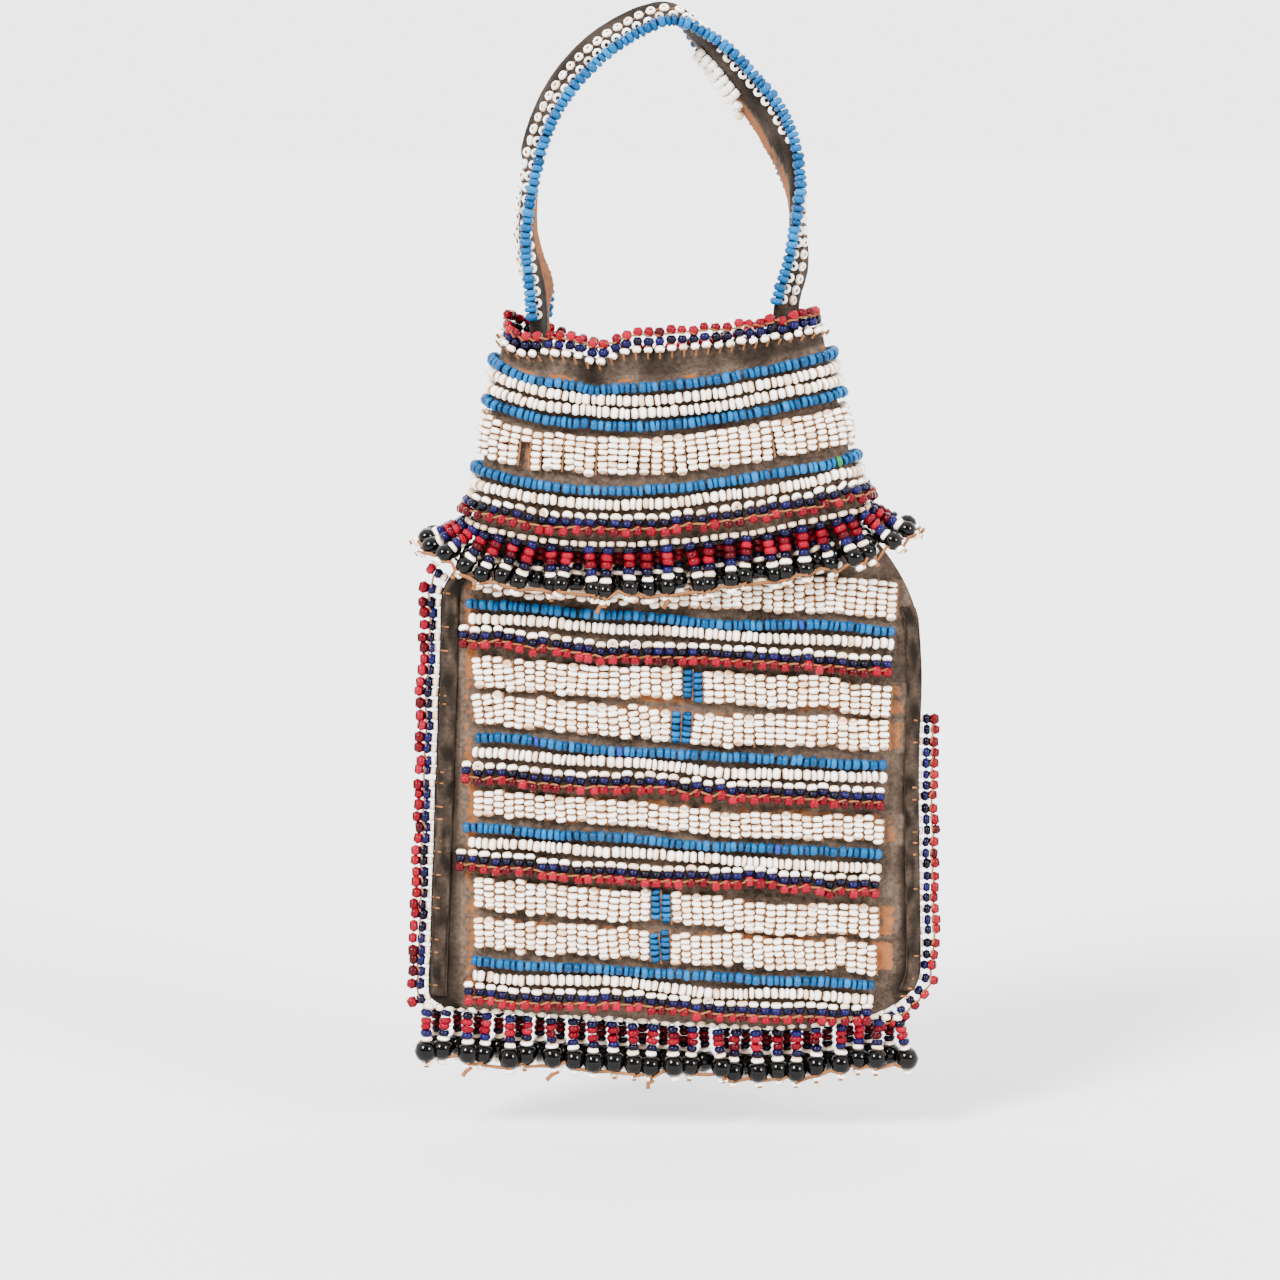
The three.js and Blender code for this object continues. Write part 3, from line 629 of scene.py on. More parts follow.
# Hide: mottled and cracked, darker where its wear value falls below 0, which is painted shade on the bare
# strips and a darker tone on the borders, strap and back, and bare suede where its wear value is high
def hide_material(name, dark, middle, worn):
    material, tree, surface = new_material(name)
    wear_and_shade = reading(tree, "wear_and_shade")
    patches = ranged(tree, grain(tree, HIDE_PATCHES, 7.0), 0.3, 0.7, 0.05, 0.55)
    specks = ranged(tree, grain(tree, HIDE_SPECKS, 5.0), 0.36, 0.66, 0.0, 0.4)
    mottle = maths(tree, "ADD", patches, specks, use_clamp=True)
    # Below 0 the wear value darkens the hide: painted shade on the bare strips, a darker tone elsewhere
    light = maths(tree, "MULTIPLY", mottle, ranged(tree, wear_and_shade, -0.6, 0.0))
    cell_size = {"Vector": object_place(tree), "Scale": HIDE_CRACKS}
    cells = add_node(tree, "ShaderNodeTexVoronoi", cell_size, feature="DISTANCE_TO_EDGE")
    cracks = ranged(tree, output(cells, "Distance"), 0.0, 0.07, 0.85, 1.0)
    base = blend_colour(tree, maths(tree, "MULTIPLY", light, cracks), dark, middle)
    fray = ranged(tree, grain(tree, HIDE_FRAY, 5.0), 0.3, 0.7, -0.35, 0.35)
    bare = ranged(tree, maths(tree, "ADD", wear_and_shade, fray, use_clamp=True), 0.5, 0.85)
    tree.links.new(blend_colour(tree, bare, base, worn), surface.inputs["Base Color"])
    surface.inputs["Roughness"].default_value = 0.7
    surface.inputs["Specular IOR Level"].default_value = 0.06
    pores = {"Height": grain(tree, HIDE_PORES, 7.0), "Strength": 0.75, "Distance": 0.0011}
    tree.links.new(made_by(tree, "ShaderNodeBump", pores), surface.inputs["Normal"])
    return material


# The last stops of the blue are the few odd beads: violet blue, then green
GLASS = {
    "blue": bead_material(
        "blue_glass",
        [
            (0.0, (0.001, 0.03, 0.085)),
            (0.3, (0.0004, 0.047, 0.14)),
            (0.7, (0.0006, 0.067, 0.19)),
            (0.92, (0.003, 0.096, 0.255)),
            (0.95, (0.006, 0.03, 0.2)),
            (0.97, (0.006, 0.03, 0.2)),
            (1.0, (0.012, 0.12, 0.03)),
        ],
        dirt_and_shade=(0.001, 0.01, 0.025),
        roughness=0.18,
        gloss=0.12,
        rim_dirt_and_shade_from=0.32,
    ),
    "white": bead_material(
        "white_glass",
        [
            (0.0, (0.6, 0.45, 0.31)),
            (0.12, (0.84, 0.74, 0.61)),
            (0.4, (0.93, 0.87, 0.77)),
            (1.0, (0.97, 0.94, 0.88)),
        ],
        dirt_and_shade=(0.42, 0.22, 0.105),
        roughness=0.22,
        gloss=0.25,
        rim_dirt_and_shade_from=0.2,
    ),
    "red": bead_material(
        "red_glass",
        [
            (0.0, (0.03, 0.0008, 0.002)),
            (0.4, (0.115, 0.0004, 0.005)),
            (0.75, (0.17, 0.0005, 0.008)),
            (1.0, (0.23, 0.003, 0.015)),
        ],
        dirt_and_shade=(0.02, 0.0005, 0.001),
        roughness=0.1,
        gloss=0.1,
        rim_dirt_and_shade_from=0.4,
    ),
    "navy": bead_material(
        "navy_glass",
        [(0.0, (0.0008, 0.0006, 0.004)), (0.5, (0.0018, 0.001, 0.018)), (1.0, (0.005, 0.004, 0.05))],
        dirt_and_shade=(0.0006, 0.0005, 0.003),
        roughness=0.1,
        gloss=0.13,
        rim_dirt_and_shade_from=0.4,
    ),
    "black": bead_material(
        "black_glass",
        [(0.0, (0.0008, 0.0007, 0.0007)), (1.0, (0.002, 0.0017, 0.0015))],
        dirt_and_shade=(0.003, 0.0025, 0.002),
        roughness=0.06,
        gloss=0.16,
        rim_dirt_and_shade_from=0.45,
    ),
}
LIGHTEST = 0.92
VIOLET = 0.96
GREEN = 1.0
hide_look = hide_material("worn_hide", (0.007, 0.0046, 0.003), (0.125, 0.084, 0.06), (0.19, 0.066, 0.022))
sinew_look = hide_material("sinew", (0.1, 0.036, 0.013), (0.25, 0.105, 0.042), (0.28, 0.12, 0.05))

# Beads are gathered by region and colour: place, thread direction, width, length along the thread, tint

DICE_SEED = 7
STRUNG_GIRTH = 2.5
VIOLET_SHARE = 0.01
beads = {}
sinew_lines = {}
dice = random.Random(DICE_SEED)


def jitter(amount):
    return Vector((dice.gauss(0, amount), dice.gauss(0, amount), dice.gauss(0, amount)))


def bead(region, colour, place, thread, girth, span, tint=None):
    shade = dice.random() * LIGHTEST if tint is None else tint
    beads.setdefault((region, colour), []).append((place, thread.normalized(), girth, span, shade))


def reach_along(points):
    """The way travelled along a line, up to each of its points."""
    reach = [0.0]
    for here, after in zip(points, points[1:]):
        reach.append(reach[-1] + (after - here).length)
    return reach


def find_span(reach, target):
    """The step of a line in which a way travelled ends, and the part of that step."""
    step = min(bisect.bisect_right(reach, target) - 1, len(reach) - 2)
    return step, (target - reach[step]) / (reach[step + 1] - reach[step])


def uneven(total, mean, variety):
    """Lengths that vary about a mean and fill a line."""
    count = max(1, round(total / mean))
    shares = [1 + dice.uniform(-variety, variety) for _ in range(count)]
    return [total * share / sum(shares) for share in shares]


def walk(path, mean, variety, closed):
    """Places and directions on a line of points, and uneven lengths that follow one another along it."""
    points = [*path, path[0]] if closed else path
    reach = reach_along(points)
    found = []
    total = 0.0
    for length in uneven(reach[-1], mean, variety):
        step, share = find_span(reach, min(total + length / 2, reach[-1]))
        found.append((points[step].lerp(points[step + 1], share), points[step + 1] - points[step], length))
        total += length
    return found


def strung_row(
    region,
    colour,
    path,
    closed=False,
    length=STRUNG_LENGTH,
    girth=STRUNG_GIRTH,
    variety=0.34,
    fill=1.0,
    lightest=LIGHTEST,
):
    for place, thread, span in walk(path, length, variety, closed):
        shade = VIOLET if dice.random() < VIOLET_SHARE else dice.random() * lightest
        width = girth * dice.uniform(0.92, 1.06)
        place = place + jitter(0.07)
        bead(region, colour, place, thread.normalized() + jitter(0.08), width, span * fill, shade)


# A picot is a white, a navy and a red bead that stand one on the other, with sinew from red to red
# Each bead: colour, rise of its middle from the foot, width, length
PICOT = [("white", 0.95, 2.4, 1.4), ("navy", 2.25, 2.3, 1.7), ("red", 4.0, 2.38, 2.15)]
# Each point of the sinew: part of the way to the next picot, rise, lift, part of the lean
PICOT_SINEW = [(0, 3.1, 0.9, 1), (0.25, 3.5, 0.2, 1), (0.5, 3.4, 0.7, 0)]
PICOT_FOOT = 1.1
# How far a picot stands out for each millimetre that it rises
NECK_PICOT_SPREAD = 0.42
BODY_PICOT_SPREAD = 0.4
# The share of the white beads that lie with their holes to the front
TURNED_SHARE = 0.03


def picot_row(region, stations, stand, kinds=PICOT):
    """stand(station, rise, lift): a place on a picot, rise from its foot and lift out from its thread."""
    line = []
    for station, following in zip(stations, [*stations[1:], stations[-1]]):
        lean = jitter(0.05)
        slip = dice.gauss(0, 0.14)
        direction = (stand(station, PICOT_HEIGHT, 0) - stand(station, 0, 0)).normalized() + lean
        for colour, rise, girth, span in kinds:
            place = stand(station, rise + slip, 0) + lean * rise
            thread = direction + jitter(0.08)
            if colour == "white" and dice.random() < TURNED_SHARE:
                thread = stand(station, rise, 1) - stand(station, rise, 0)
            width = girth * dice.uniform(0.88, 1.08)
            length = span * dice.uniform(0.9, 1.1)
            bead(region, colour, place, thread, width, length)
        for share, rise, lift, leaning in PICOT_SINEW:
            line.append(stand(lerp(station, following, share), rise + slip, lift) + lean * (rise * leaning))
    sinew_lines.setdefault(region, []).append(line)


# Neck beadwork

NECK_FINE = 720
NECK_CHECK_DROP = 20
neck_turns = [2 * math.pi * step / NECK_FINE for step in range(NECK_FINE + 1)]
neck_reach = reach_along([neck_point(turn, NECK_CHECK_DROP, 0) for turn in neck_turns])
neck_round = neck_reach[-1]


def neck_place(round_share, drop, out):
    """A point of the neck by its share of the way round, from the right side over the back."""
    step, share = find_span(neck_reach, (round_share % 1.0) * neck_round)
    here = neck_point(neck_turns[step], drop, out)
    return here.lerp(neck_point(neck_turns[step + 1], drop, out), share)


def neck_path(drop, out, wobble=0.4):
    path = []
    for step in range(NECK_FINE // 2):
        share = 2 * step / NECK_FINE
        turn = 2 * math.pi * share
        shift = wobble * rough(3 * math.cos(turn), 3 * math.sin(turn), drop)
        path.append(neck_place(share, drop + shift, out))
    return path


def even_shares(drop, pitch):
    """Shares of the way round the neck at an even pitch."""
    wide = neck_half_width(drop) / neck_half_width(NECK_CHECK_DROP)
    count = round(neck_round * wide / pitch)
    return [(step + 0.5) / count for step in range(count)]


for colour, drop in neck_rows:
    strung_row("neck", colour, neck_path(drop, GAP + BEAD / 2), closed=True)


SEWN_PITCH = 2.22
# The end beads of some sewn columns tip over: the share that do, and how far
FIRST_TIPPED = 0.2
FIRST_TIP = Vector((0, 0.9, 0))
LAST_TIPPED = 0.35
LAST_TIP = Vector((0, -0.7, 0))
# How much prouder the middle of a column is
CROWN = 0.35


def bead_column(region, colour, surface, count, start):
    """surface(drop) is the place down a column; its beads lie with their holes along it."""
    drop = start
    for step in range(count):
        span = BEAD_LENGTH * dice.uniform(0.86, 1.14)
        place = surface(drop + span / 2) + jitter(0.05)
        thread = (surface(drop + span) - surface(drop)).normalized() + jitter(0.09)
        if step == 0 and dice.random() < FIRST_TIPPED:
            thread = thread + FIRST_TIP
        if step == count - 1 and dice.random() < LAST_TIPPED:
            thread = thread + LAST_TIP
        bead(region, colour, place, thread, SEWN_PITCH * dice.uniform(0.96, 1.08), span)
        drop += span


def crown(drop, start, count):
    """A sewn column stands a little prouder at its middle."""
    share = clamp((drop - start) / (count * BEAD_LENGTH))
    return GAP + BEAD / 2 - CROWN + CROWN * math.sin(math.pi * share)


# Sinew shows between the columns
SEAM_DEPTH = 0.15
COLUMN_SEAM = GAP + BEAD / 2 - SEAM_DEPTH

# One column of the neck band has lost its lower beads
NECK_COLUMN_BEADS = 6
NECK_BAND_RAISE = 1.0
BROKEN_COLUMN = -29.5
BROKEN_BEADS = 2

for share in even_shares(neck_band_start, SEWN_PITCH):
    lean = (0.12 * rough(16 * share, 0, 3) + dice.gauss(0, 0.025)) / neck_round
    start = neck_band_start - NECK_BAND_RAISE + dice.gauss(0, 0.25)
    seam = share + 0.5 * SEWN_PITCH / neck_round
    rises = spread(0, NECK_COLUMN_BEADS * BEAD_LENGTH, 3)
    sinew_lines.setdefault("neck", []).append([neck_place(seam, start + rise, COLUMN_SEAM) for rise in rises])
    middle = neck_place(share, neck_band_start, 0)
    is_broken = middle.y < 0 and abs(middle.x - BROKEN_COLUMN) < SEWN_PITCH / 2
    bead_column(
        "neck",
        "white",
        lambda drop: neck_place(share + lean * (drop - start), drop, crown(drop, start, NECK_COLUMN_BEADS)),
        BROKEN_BEADS if is_broken else NECK_COLUMN_BEADS,
        start,
    )


def neck_stand(share, rise, lift):
    out = PICOT_FOOT + NECK_PICOT_SPREAD * rise + lift
    return neck_place(share, neck_picot_start + rise, out)


picot_row("neck", even_shares(neck_picot_start, PICOT_PITCH), neck_stand)

MOUTH_FOOT = 0.3
MOUTH_SPREAD = 0.06
WHITE_PROUD = 1.1
WHITE_REACH = 1.2
MOUTH_PICOT = [("white", 0.25, 2.05, 1.5), ("navy", 1.9, 2.4, 1.8), ("red", 3.85, 2.38, 2.1)]


def mouth_stand(share, rise, lift):
    out = MOUTH_SPREAD * rise + WHITE_PROUD * max(0, WHITE_REACH - rise) + lift
    return neck_place(share, MOUTH_FOOT - rise, -HIDE / 2 + out)


mouth_stations = even_shares(0, PICOT_PITCH)
picot_row("mouth", mouth_stations, mouth_stand, MOUTH_PICOT)
for station in mouth_stations:
    sinew_lines["mouth"].append([mouth_stand(station, -0.1, 0.9), mouth_stand(station, -1.0, -0.9)])

# Strap beadwork

STRAP_FINE = 400
STRAP_BEAD = 2.9
ROW_EXTRA = 0.013
rows_start = rows_from - ROW_EXTRA
strap_steps = spread(rows_start, rows_to, STRAP_FINE)
BACK_ROW_SHIFT = 1.5
LEFT_CURL = 2.3
LEFT_TOP_CURL = 1.7
RIGHT_CURL = 1.2
# Heights, and below them depths, at which the lie of the strap's rows and edges changes
HIGH_FROM = -46
HIGH_TO = -38
LEFT_TOP_CURL_FROM = (-34, -26)
LEFT_LIMB_FROM = (28, 36)
LEFT_LIMB_TO = (55, 62)
RINGS_BELOW_FROM = (4, 8)
RINGS_BELOW_TO = (23, 29)
RIGHT_CURL_FROM = (24, 34)
BARE_LIMB_FROM = (22, 36)


def strap_height(along):
    return strap_point(along, 0, 0).z


def back_row_shift(along):
    """The back row lies towards the outer face high on the right limb, and inwards on the left limb."""
    high = smoothstep(strap_height(along), HIGH_FROM, HIGH_TO) if along > 0.5 else 0
    return BACK_ROW_SHIFT * high * smoothstep(along, 0.52, 0.6) - 0.6 * LEFT_CURL * left_limb(along)


def left_limb(along):
    depth = -strap_height(along)
    if along >= 0.5:
        return 0
    return smoothstep(depth, *LEFT_LIMB_FROM) * (1 - smoothstep(depth, *LEFT_LIMB_TO))


for side in (-1, 1):
    edge = side * (STRAP_WIDTH / 2 + BEAD / 2)
    path = [strap_point(along, edge, back_row_shift(along) if side > 0 else 0) for along in strap_steps]
    strung_row("strap", "blue", path, girth=STRAP_BEAD, variety=0.28)

RING_GIRTH = 2.2
RING_LENGTH = 1.2
RING_PITCH = 2.45
RING_LOOK_OUT = 0.85
RING_TIP = 0.4
RING_SINK = 0.15
FIRST_ROW_INSET = 0.8
SECOND_ROW = -1.5
ring_stand = STRAP_THICKNESS / 2 + RING_LENGTH / 2 - RING_SINK


def along_strap(width, start, end, pitch):
    """Parts of the strap's length at an even pitch along a row."""
    alongs = spread(start, end, STRAP_FINE)
    reach = reach_along([strap_point(along, width, 0) for along in alongs])
    count = max(1, round(reach[-1] / pitch))
    found = []
    for number in range(count):
        step, share = find_span(reach, reach[-1] * (number + 0.5) / count)
        found.append(lerp(alongs[step], alongs[step + 1], share))
    return found


def outer_side(along):
    """1 where the white rings look out above the blue row, -1 where they look out below it."""
    height = strap_height(along)
    if along < 0.5:
        return 2 * smoothstep(height, HIGH_FROM, HIGH_TO) - 1
    return 1 - 2 * smoothstep(-height, *RINGS_BELOW_FROM) + 2 * smoothstep(-height, *RINGS_BELOW_TO)


# The first white row looks out from behind the blue row; the second lies on the outer face
for along in along_strap(-STRAP_WIDTH / 2, rows_start, rows_to, RING_PITCH):
    middle, forward, back, face = strap_axes(along)
    width = -STRAP_WIDTH / 2 + FIRST_ROW_INSET + dice.gauss(0, 0.1)
    place = middle + back * width + face * (RING_LOOK_OUT * outer_side(along) + dice.gauss(0, 0.12))
    bead("strap", "white", place, jitter(0.16) - back, RING_GIRTH * dice.uniform(0.92, 1.05), RING_LENGTH)

ring_line = []
for along in along_strap(SECOND_ROW, rows_start, rows_to, RING_PITCH):
    middle, forward, back, face = strap_axes(along)
    place = middle + back * (SECOND_ROW + dice.gauss(0, 0.2)) + face * ring_stand
    thread = face - back * RING_TIP + jitter(0.16)
    bead("strap", "white", place, thread, RING_GIRTH * dice.uniform(0.92, 1.05), RING_LENGTH)
    ring_line.append(place + face * (0.25 * RING_LENGTH))
    ring_line.append(place - face * (0.2 * RING_LENGTH) + forward * (RING_PITCH / 2))
sinew_lines["strap"] = [ring_line]

PATCH_COLUMN = 2.05
PATCH_COLUMNS = 3
PATCH_PITCH = 1.9
PATCH_LENGTH = 1.85
PATCH_STEP = 0.012
PATCH_INSET = 0.9
for column in range(PATCH_COLUMNS):
    width = STRAP_WIDTH / 2 - PATCH_INSET - column * PATCH_COLUMN
    for along in along_strap(width, PATCH_FROM, PATCH_TO - PATCH_STEP * column, PATCH_PITCH):
        middle, forward, back, face = strap_axes(along)
        place = middle + back * width - face * ring_stand + jitter(0.12)
        thread = forward + jitter(0.2)
        bead("strap", "white", place, thread, PATCH_COLUMN * dice.uniform(0.98, 1.1), PATCH_LENGTH)

# Pouch beadwork

ROW_FINE = 120
WAVE = 1.1


def wave(across, drop):
    return WAVE * rough(across * 0.045, drop * 0.31, 5.0)


def row_path(drop, out, extra):
    acrosses = spread(row_left - extra, row_right(drop), ROW_FINE)
    return [pouch_point(across, drop + wave(across, drop), out) for across in acrosses]


# How far each row begins left of the bands, from the top down
ROW_STARTS = {"blue": [1.5, -0.6, 2.1, 0.6], "white": [0.8, 0.0, 1.2, 0.3]}
PICOT_STARTS = [3.1, 2.6, 3.8, 2.5]

for colour, starts in ROW_STARTS.items():
    drops = [drop for kind, drop in body_rows if kind == colour]
    for drop, extra in zip(drops, starts, strict=True):
        strung_row("pouch_rows", colour, row_path(drop, GAP + BEAD / 2, extra))

for start, extra in zip(body_picots, PICOT_STARTS, strict=True):
    left = row_left - extra
    right = row_right(start)
    count = round((right - left) / PICOT_PITCH)
    stations = [left + (step + 0.5) * (right - left) / count for step in range(count)]

    def body_stand(across, rise, lift):
        out = PICOT_FOOT + BODY_PICOT_SPREAD * rise + lift
        return pouch_point(across, start + wave(across, start) + rise, out)

    picot_row("pouch_rows", stations, body_stand)

for count, tick, top in body_bands:
    right = row_right(top)
    columns = round((right - row_left) / SEWN_PITCH)
    pitch = (right - row_left) / columns
    for column in range(columns):
        middle = row_left + (column + 0.5) * pitch
        is_tick = tick is not None and abs(middle - tick) < TICK_COLUMNS * pitch / 2
        lean = 0.25 * rough(middle * 0.06, top * 0.2, 2.0) + dice.gauss(0, 0.025)
        start = top + wave(middle, top) + dice.gauss(0, 0.28)
        half = count * BEAD_LENGTH / 2
        seam_line = []
        for rise in spread(0, 2 * half, 3):
            across = middle + pitch / 2 + lean * (rise - half)
            seam_line.append(pouch_point(across, start + rise, COLUMN_SEAM))
        sinew_lines.setdefault("pouch_bands", []).append(seam_line)
        bead_column(
            "pouch_bands",
            "blue" if is_tick else "white",
            lambda drop: pouch_point(middle + lean * (drop - start - half), drop, crown(drop, start, count)),
            count,
            start,
        )

# Side edgings stand out from the seams, with stitches over the hide's edge

EDGING = [("white", 1.4, 2.2, 1.7), ("navy", 2.85, 2.65, 2.0), ("red", 4.65, 2.75, 2.3)]
CLOSE_EDGING = [("white", 0.7, 1.95, 1.3), ("navy", 2.1, 2.4, 1.7), ("red", 3.85, 2.45, 2.1)]
EDGE_FINE = 300
STITCH = [(-1.1, 1.2), (-0.5, 1.25), (0.4, 0.6)]
STITCHED_SHARE = 0.5
EDGING_SINK = 0.2
BULGE = 1.0
BULGE_DROP = 70
BULGE_REACH = 14
CORNER_EASE = 1.5
SHOULDER_END = 65.5
SHOULDER_REACH = 54.4
SHOULDER_CURVE = 0.018
EASE_ABOVE_CORNER = 8
LEFT_EDGING_END = 0.6
RIGHT_EDGING_END = 0.62


def right_seam(drop):
    """The right seam swells a little above the middle, and its corner lies a little lower."""
    eased = drop - CORNER_EASE * smoothstep(drop, corner_top - EASE_ABOVE_CORNER, corner_top)
    swollen = right_edge(eased) + BULGE * math.exp(-(((drop - BULGE_DROP) / BULGE_REACH) ** 2))
    return min(swollen, SHOULDER_REACH - SHOULDER_CURVE * max(0, SHOULDER_END - drop) ** 2)


def edging_row(edge, outward, start, end, kinds):
    drops = spread(start, end, EDGE_FINE)
    line = [Vector((edge(drop), 0, MOUTH_Z - drop - ROW_SLOPE * edge(drop))) for drop in drops]
    reach = reach_along(line)
    count = round(reach[-1] / PICOT_PITCH)
    stations = [reach[-1] * (step + 0.5) / count for step in range(count)]

    def stand(way, rise, lift):
        step, share = find_span(reach, clamp(way, 0, reach[-1] - 0.001))
        along = (line[step + 1] - line[step]).normalized()
        away = outward * (rise - EDGING_SINK)
        foot = line[step].lerp(line[step + 1], share)
        return foot + Vector((-along.z * away, 0.5 * rough(way, 3, outward) - lift, along.x * away))

    picot_row("edging", stations, stand, kinds)
    for way in stations:
        step, share = find_span(reach, way)
        drop = lerp(drops[step], drops[step + 1], share) + dice.gauss(0, 0.2)
        stitch = [pouch_point(edge(drop) + outward * across, drop, out) for across, out in STITCH]
        if dice.random() < STITCHED_SHARE:
            sinew_lines["edging"].append(stitch)


left_end = lerp(left_corner_top, POUCH_BOTTOM, LEFT_EDGING_END)
right_end = lerp(corner_top, POUCH_BOTTOM, RIGHT_EDGING_END)
edging_row(left_edge, -1, side_start, left_end, EDGING)
edging_row(right_seam, 1, side_start + RIGHT_EDGING_START, right_end, CLOSE_EDGING)

# Fringes: each strand is small beads, a large bead and a tip, with a back row behind the front one

LEG = [("navy", 2.7, 1.6), ("red", 2.75, 1.6), ("red", 2.75, 1.6), ("navy", 2.7, 1.6), ("white", 2.8, 1.4)]
LEG_START = 0.5
LEG_TIGHTNESS = 0.91
TIP_GIRTH = 2.35
TIP_LENGTH = 1.6
SEAT_DEPTH = 0.35
NECK_LARGE = 4.1
BOTTOM_LARGE = 5.0
LARGE_FLATNESS = 0.92
BASE_PITCH = 2.5
BASE_GIRTH = 1.5
NECK_BASE = 1.35
NECK_BASE_PITCH = 2.1
BACK_SPACE = 2.8
NECK_STRETCH = 1.04
RIGHT_SWING = 0.3
RIGHT_SWING_FROM = (36, 46)
BACK_SHORTENING = 0.88
# How dark the back row's small beads are: painted shade, as they hang behind the front row
BACK_PAINTED_SHADE = 0.16
SIDE_FROM = 30
SIDE_TURN = 0.1
BOTTOM_STRETCH = 1.0
bead_middle = STALK_LENGTH + LARGE_BEAD / 2
tip_lines = {}
tip_nubs = []
TIP_FRONT = 1.35
NUB_SHARE = 0.5


def hang_strand(region, top, direction, large, stretch, is_back=False):
    """One strand; returns the place of its tip, and the direction in which it hangs."""
    direction = direction.normalized()
    place = top + direction * LEG_START
    shrink = stretch * (BACK_SHORTENING if is_back else dice.uniform(0.93, 1.07))
    for colour, girth, span in LEG:
        # The back row's small beads take only the darkest tints: painted shade
        shade = dice.uniform(0, BACK_PAINTED_SHADE) if is_back else None
        middle = place + direction * (span * shrink / 2) + jitter(0.08)
        thread = direction + jitter(0.11)
        bead(region, colour, middle, thread, girth * dice.uniform(0.9, 1.06), span * shrink, shade)
        place += direction * span * shrink * LEG_TIGHTNESS
    length = large * LARGE_FLATNESS * dice.uniform(0.95, 1.05)
    tilt = (direction + jitter(0.06)).normalized()
    middle = place + direction * (length / 2 - SEAT_DEPTH)
    bead(region, "black", middle, tilt, large * dice.uniform(0.95, 1.04), length)
    tip = middle + tilt * (length / 2 + TIP_LENGTH / 2 - SEAT_DEPTH)
    bead(region, "white", tip, tilt + jitter(0.1), TIP_GIRTH * dice.uniform(0.9, 1.08), TIP_LENGTH)
    return tip, direction


def tip_sinew(region, tips, outward):
    """Sinew on the tips of a fringe, from each to the next, with a nub where it goes into a tip."""
    line = []
    for (tip, direction), away, (after, _) in zip(tips, outward, [*tips[1:], tips[-1]]):
        front = away * TIP_FRONT
        line.append(tip + front + direction * dice.uniform(-1.5, -0.7))
        line.append(tip + front * 0.85 + direction * dice.uniform(-1.1, -0.1))
        line.append(tip.lerp(after, 0.55) + front * 0.6 + direction * dice.uniform(-2.2, -0.4))
        if dice.random() < NUB_SHARE:
            nub = tip + direction * 0.4 + front * 0.6
            tip_nubs.append((region, [nub, nub + direction * dice.uniform(0.3, 0.7)]))
    tip_lines[region] = line


# Neck fringe: its large beads lie evenly on a wider ring than its row

bead_out = GAP + BEAD / 2 + FRONT_FLARE
flare = SIDE_FLARE / (neck_half_width(fringe_row) + bead_out)


def flared(turn):
    place = neck_point(turn, fringe_row, bead_out)
    return Vector((place.x * (1 + flare), place.y, place.z))


def row_under(turn):
    """Where the strand of a large bead leaves its row."""
    across = rounded(math.cos(turn))
    start = across * (1 + flare * (1 - across * across))
    back = math.acos(clamp(signed_power(start, NECK_SQUARENESS / 2), -1, 1))
    return neck_point(-back if math.sin(turn) < 0 else back, fringe_row, GAP + BEAD / 2)


strung_row(
    "neck_fringe",
    "white",
    neck_path(fringe_row, 2 * GAP + NECK_BASE / 2),
    closed=True,
    length=NECK_BASE_PITCH,
    girth=NECK_BASE,
    variety=0.2,
    fill=0.9,
    lightest=0.1,
)
ring_places = [flared(turn) for turn in neck_turns]
ring_tops = [row_under(turn) for turn in neck_turns]
ring_reach = reach_along(ring_places)
strand_count = round(ring_reach[-1] / STRAND_PITCH)


def neck_strand(share):
    """Where a strand leaves the row, how it hangs, and which way is out, at a share of the way round."""
    step, part = find_span(ring_reach, ring_reach[-1] * (share % 1.0))
    top = ring_tops[step].lerp(ring_tops[step + 1], part)
    place = ring_places[step].lerp(ring_places[step + 1], part)
    reach = Vector((place.x - top.x, place.y - top.y, 0))
    direction = reach - Vector((0, 0, math.sqrt(bead_middle**2 - reach.length_squared)))
    sideways = max(0, abs(place.x) - SIDE_FROM) * math.copysign(SIDE_TURN, place.x)
    away = Vector((sideways, math.copysign(1, place.y), 0))
    return top, direction, away.normalized()


neck_tips = []
neck_away = []
for number in range(strand_count):
    top, direction, away = neck_strand((number + dice.gauss(0.5, 0.05)) / strand_count)
    swing = Vector((RIGHT_SWING * smoothstep(top.x, *RIGHT_SWING_FROM), 0, 0))
    hung = direction.normalized() + swing + jitter(0.09)
    neck_tips.append(hang_strand("neck_fringe", top, hung, NECK_LARGE, NECK_STRETCH))
    neck_away.append(away)
    top, direction, away = neck_strand((number + 1) / strand_count)
    hang_strand("neck_fringe", top - away * BACK_SPACE, direction, NECK_LARGE, NECK_STRETCH, True)
tip_sinew("neck_fringe", [*neck_tips, neck_tips[0]], [*neck_away, neck_away[0]])

# Bottom fringe


def hem_line():
    below = GAP + BEAD / 2
    bottom = spread(left_edge(POUCH_BOTTOM), right_edge(POUCH_BOTTOM), 16)
    places = [(left_edge(left_corner_top), POUCH_BOTTOM + below)]
    places += [(across, POUCH_BOTTOM + below) for across in bottom[1:]]
    for drop in reversed(corner_levels[:-1]):
        places.append((right_edge(drop) + below * CORNER_REACH, drop + below))
    return [Vector((x, 0, MOUTH_Z - drop - ROW_SLOPE * x)) for x, drop in places]


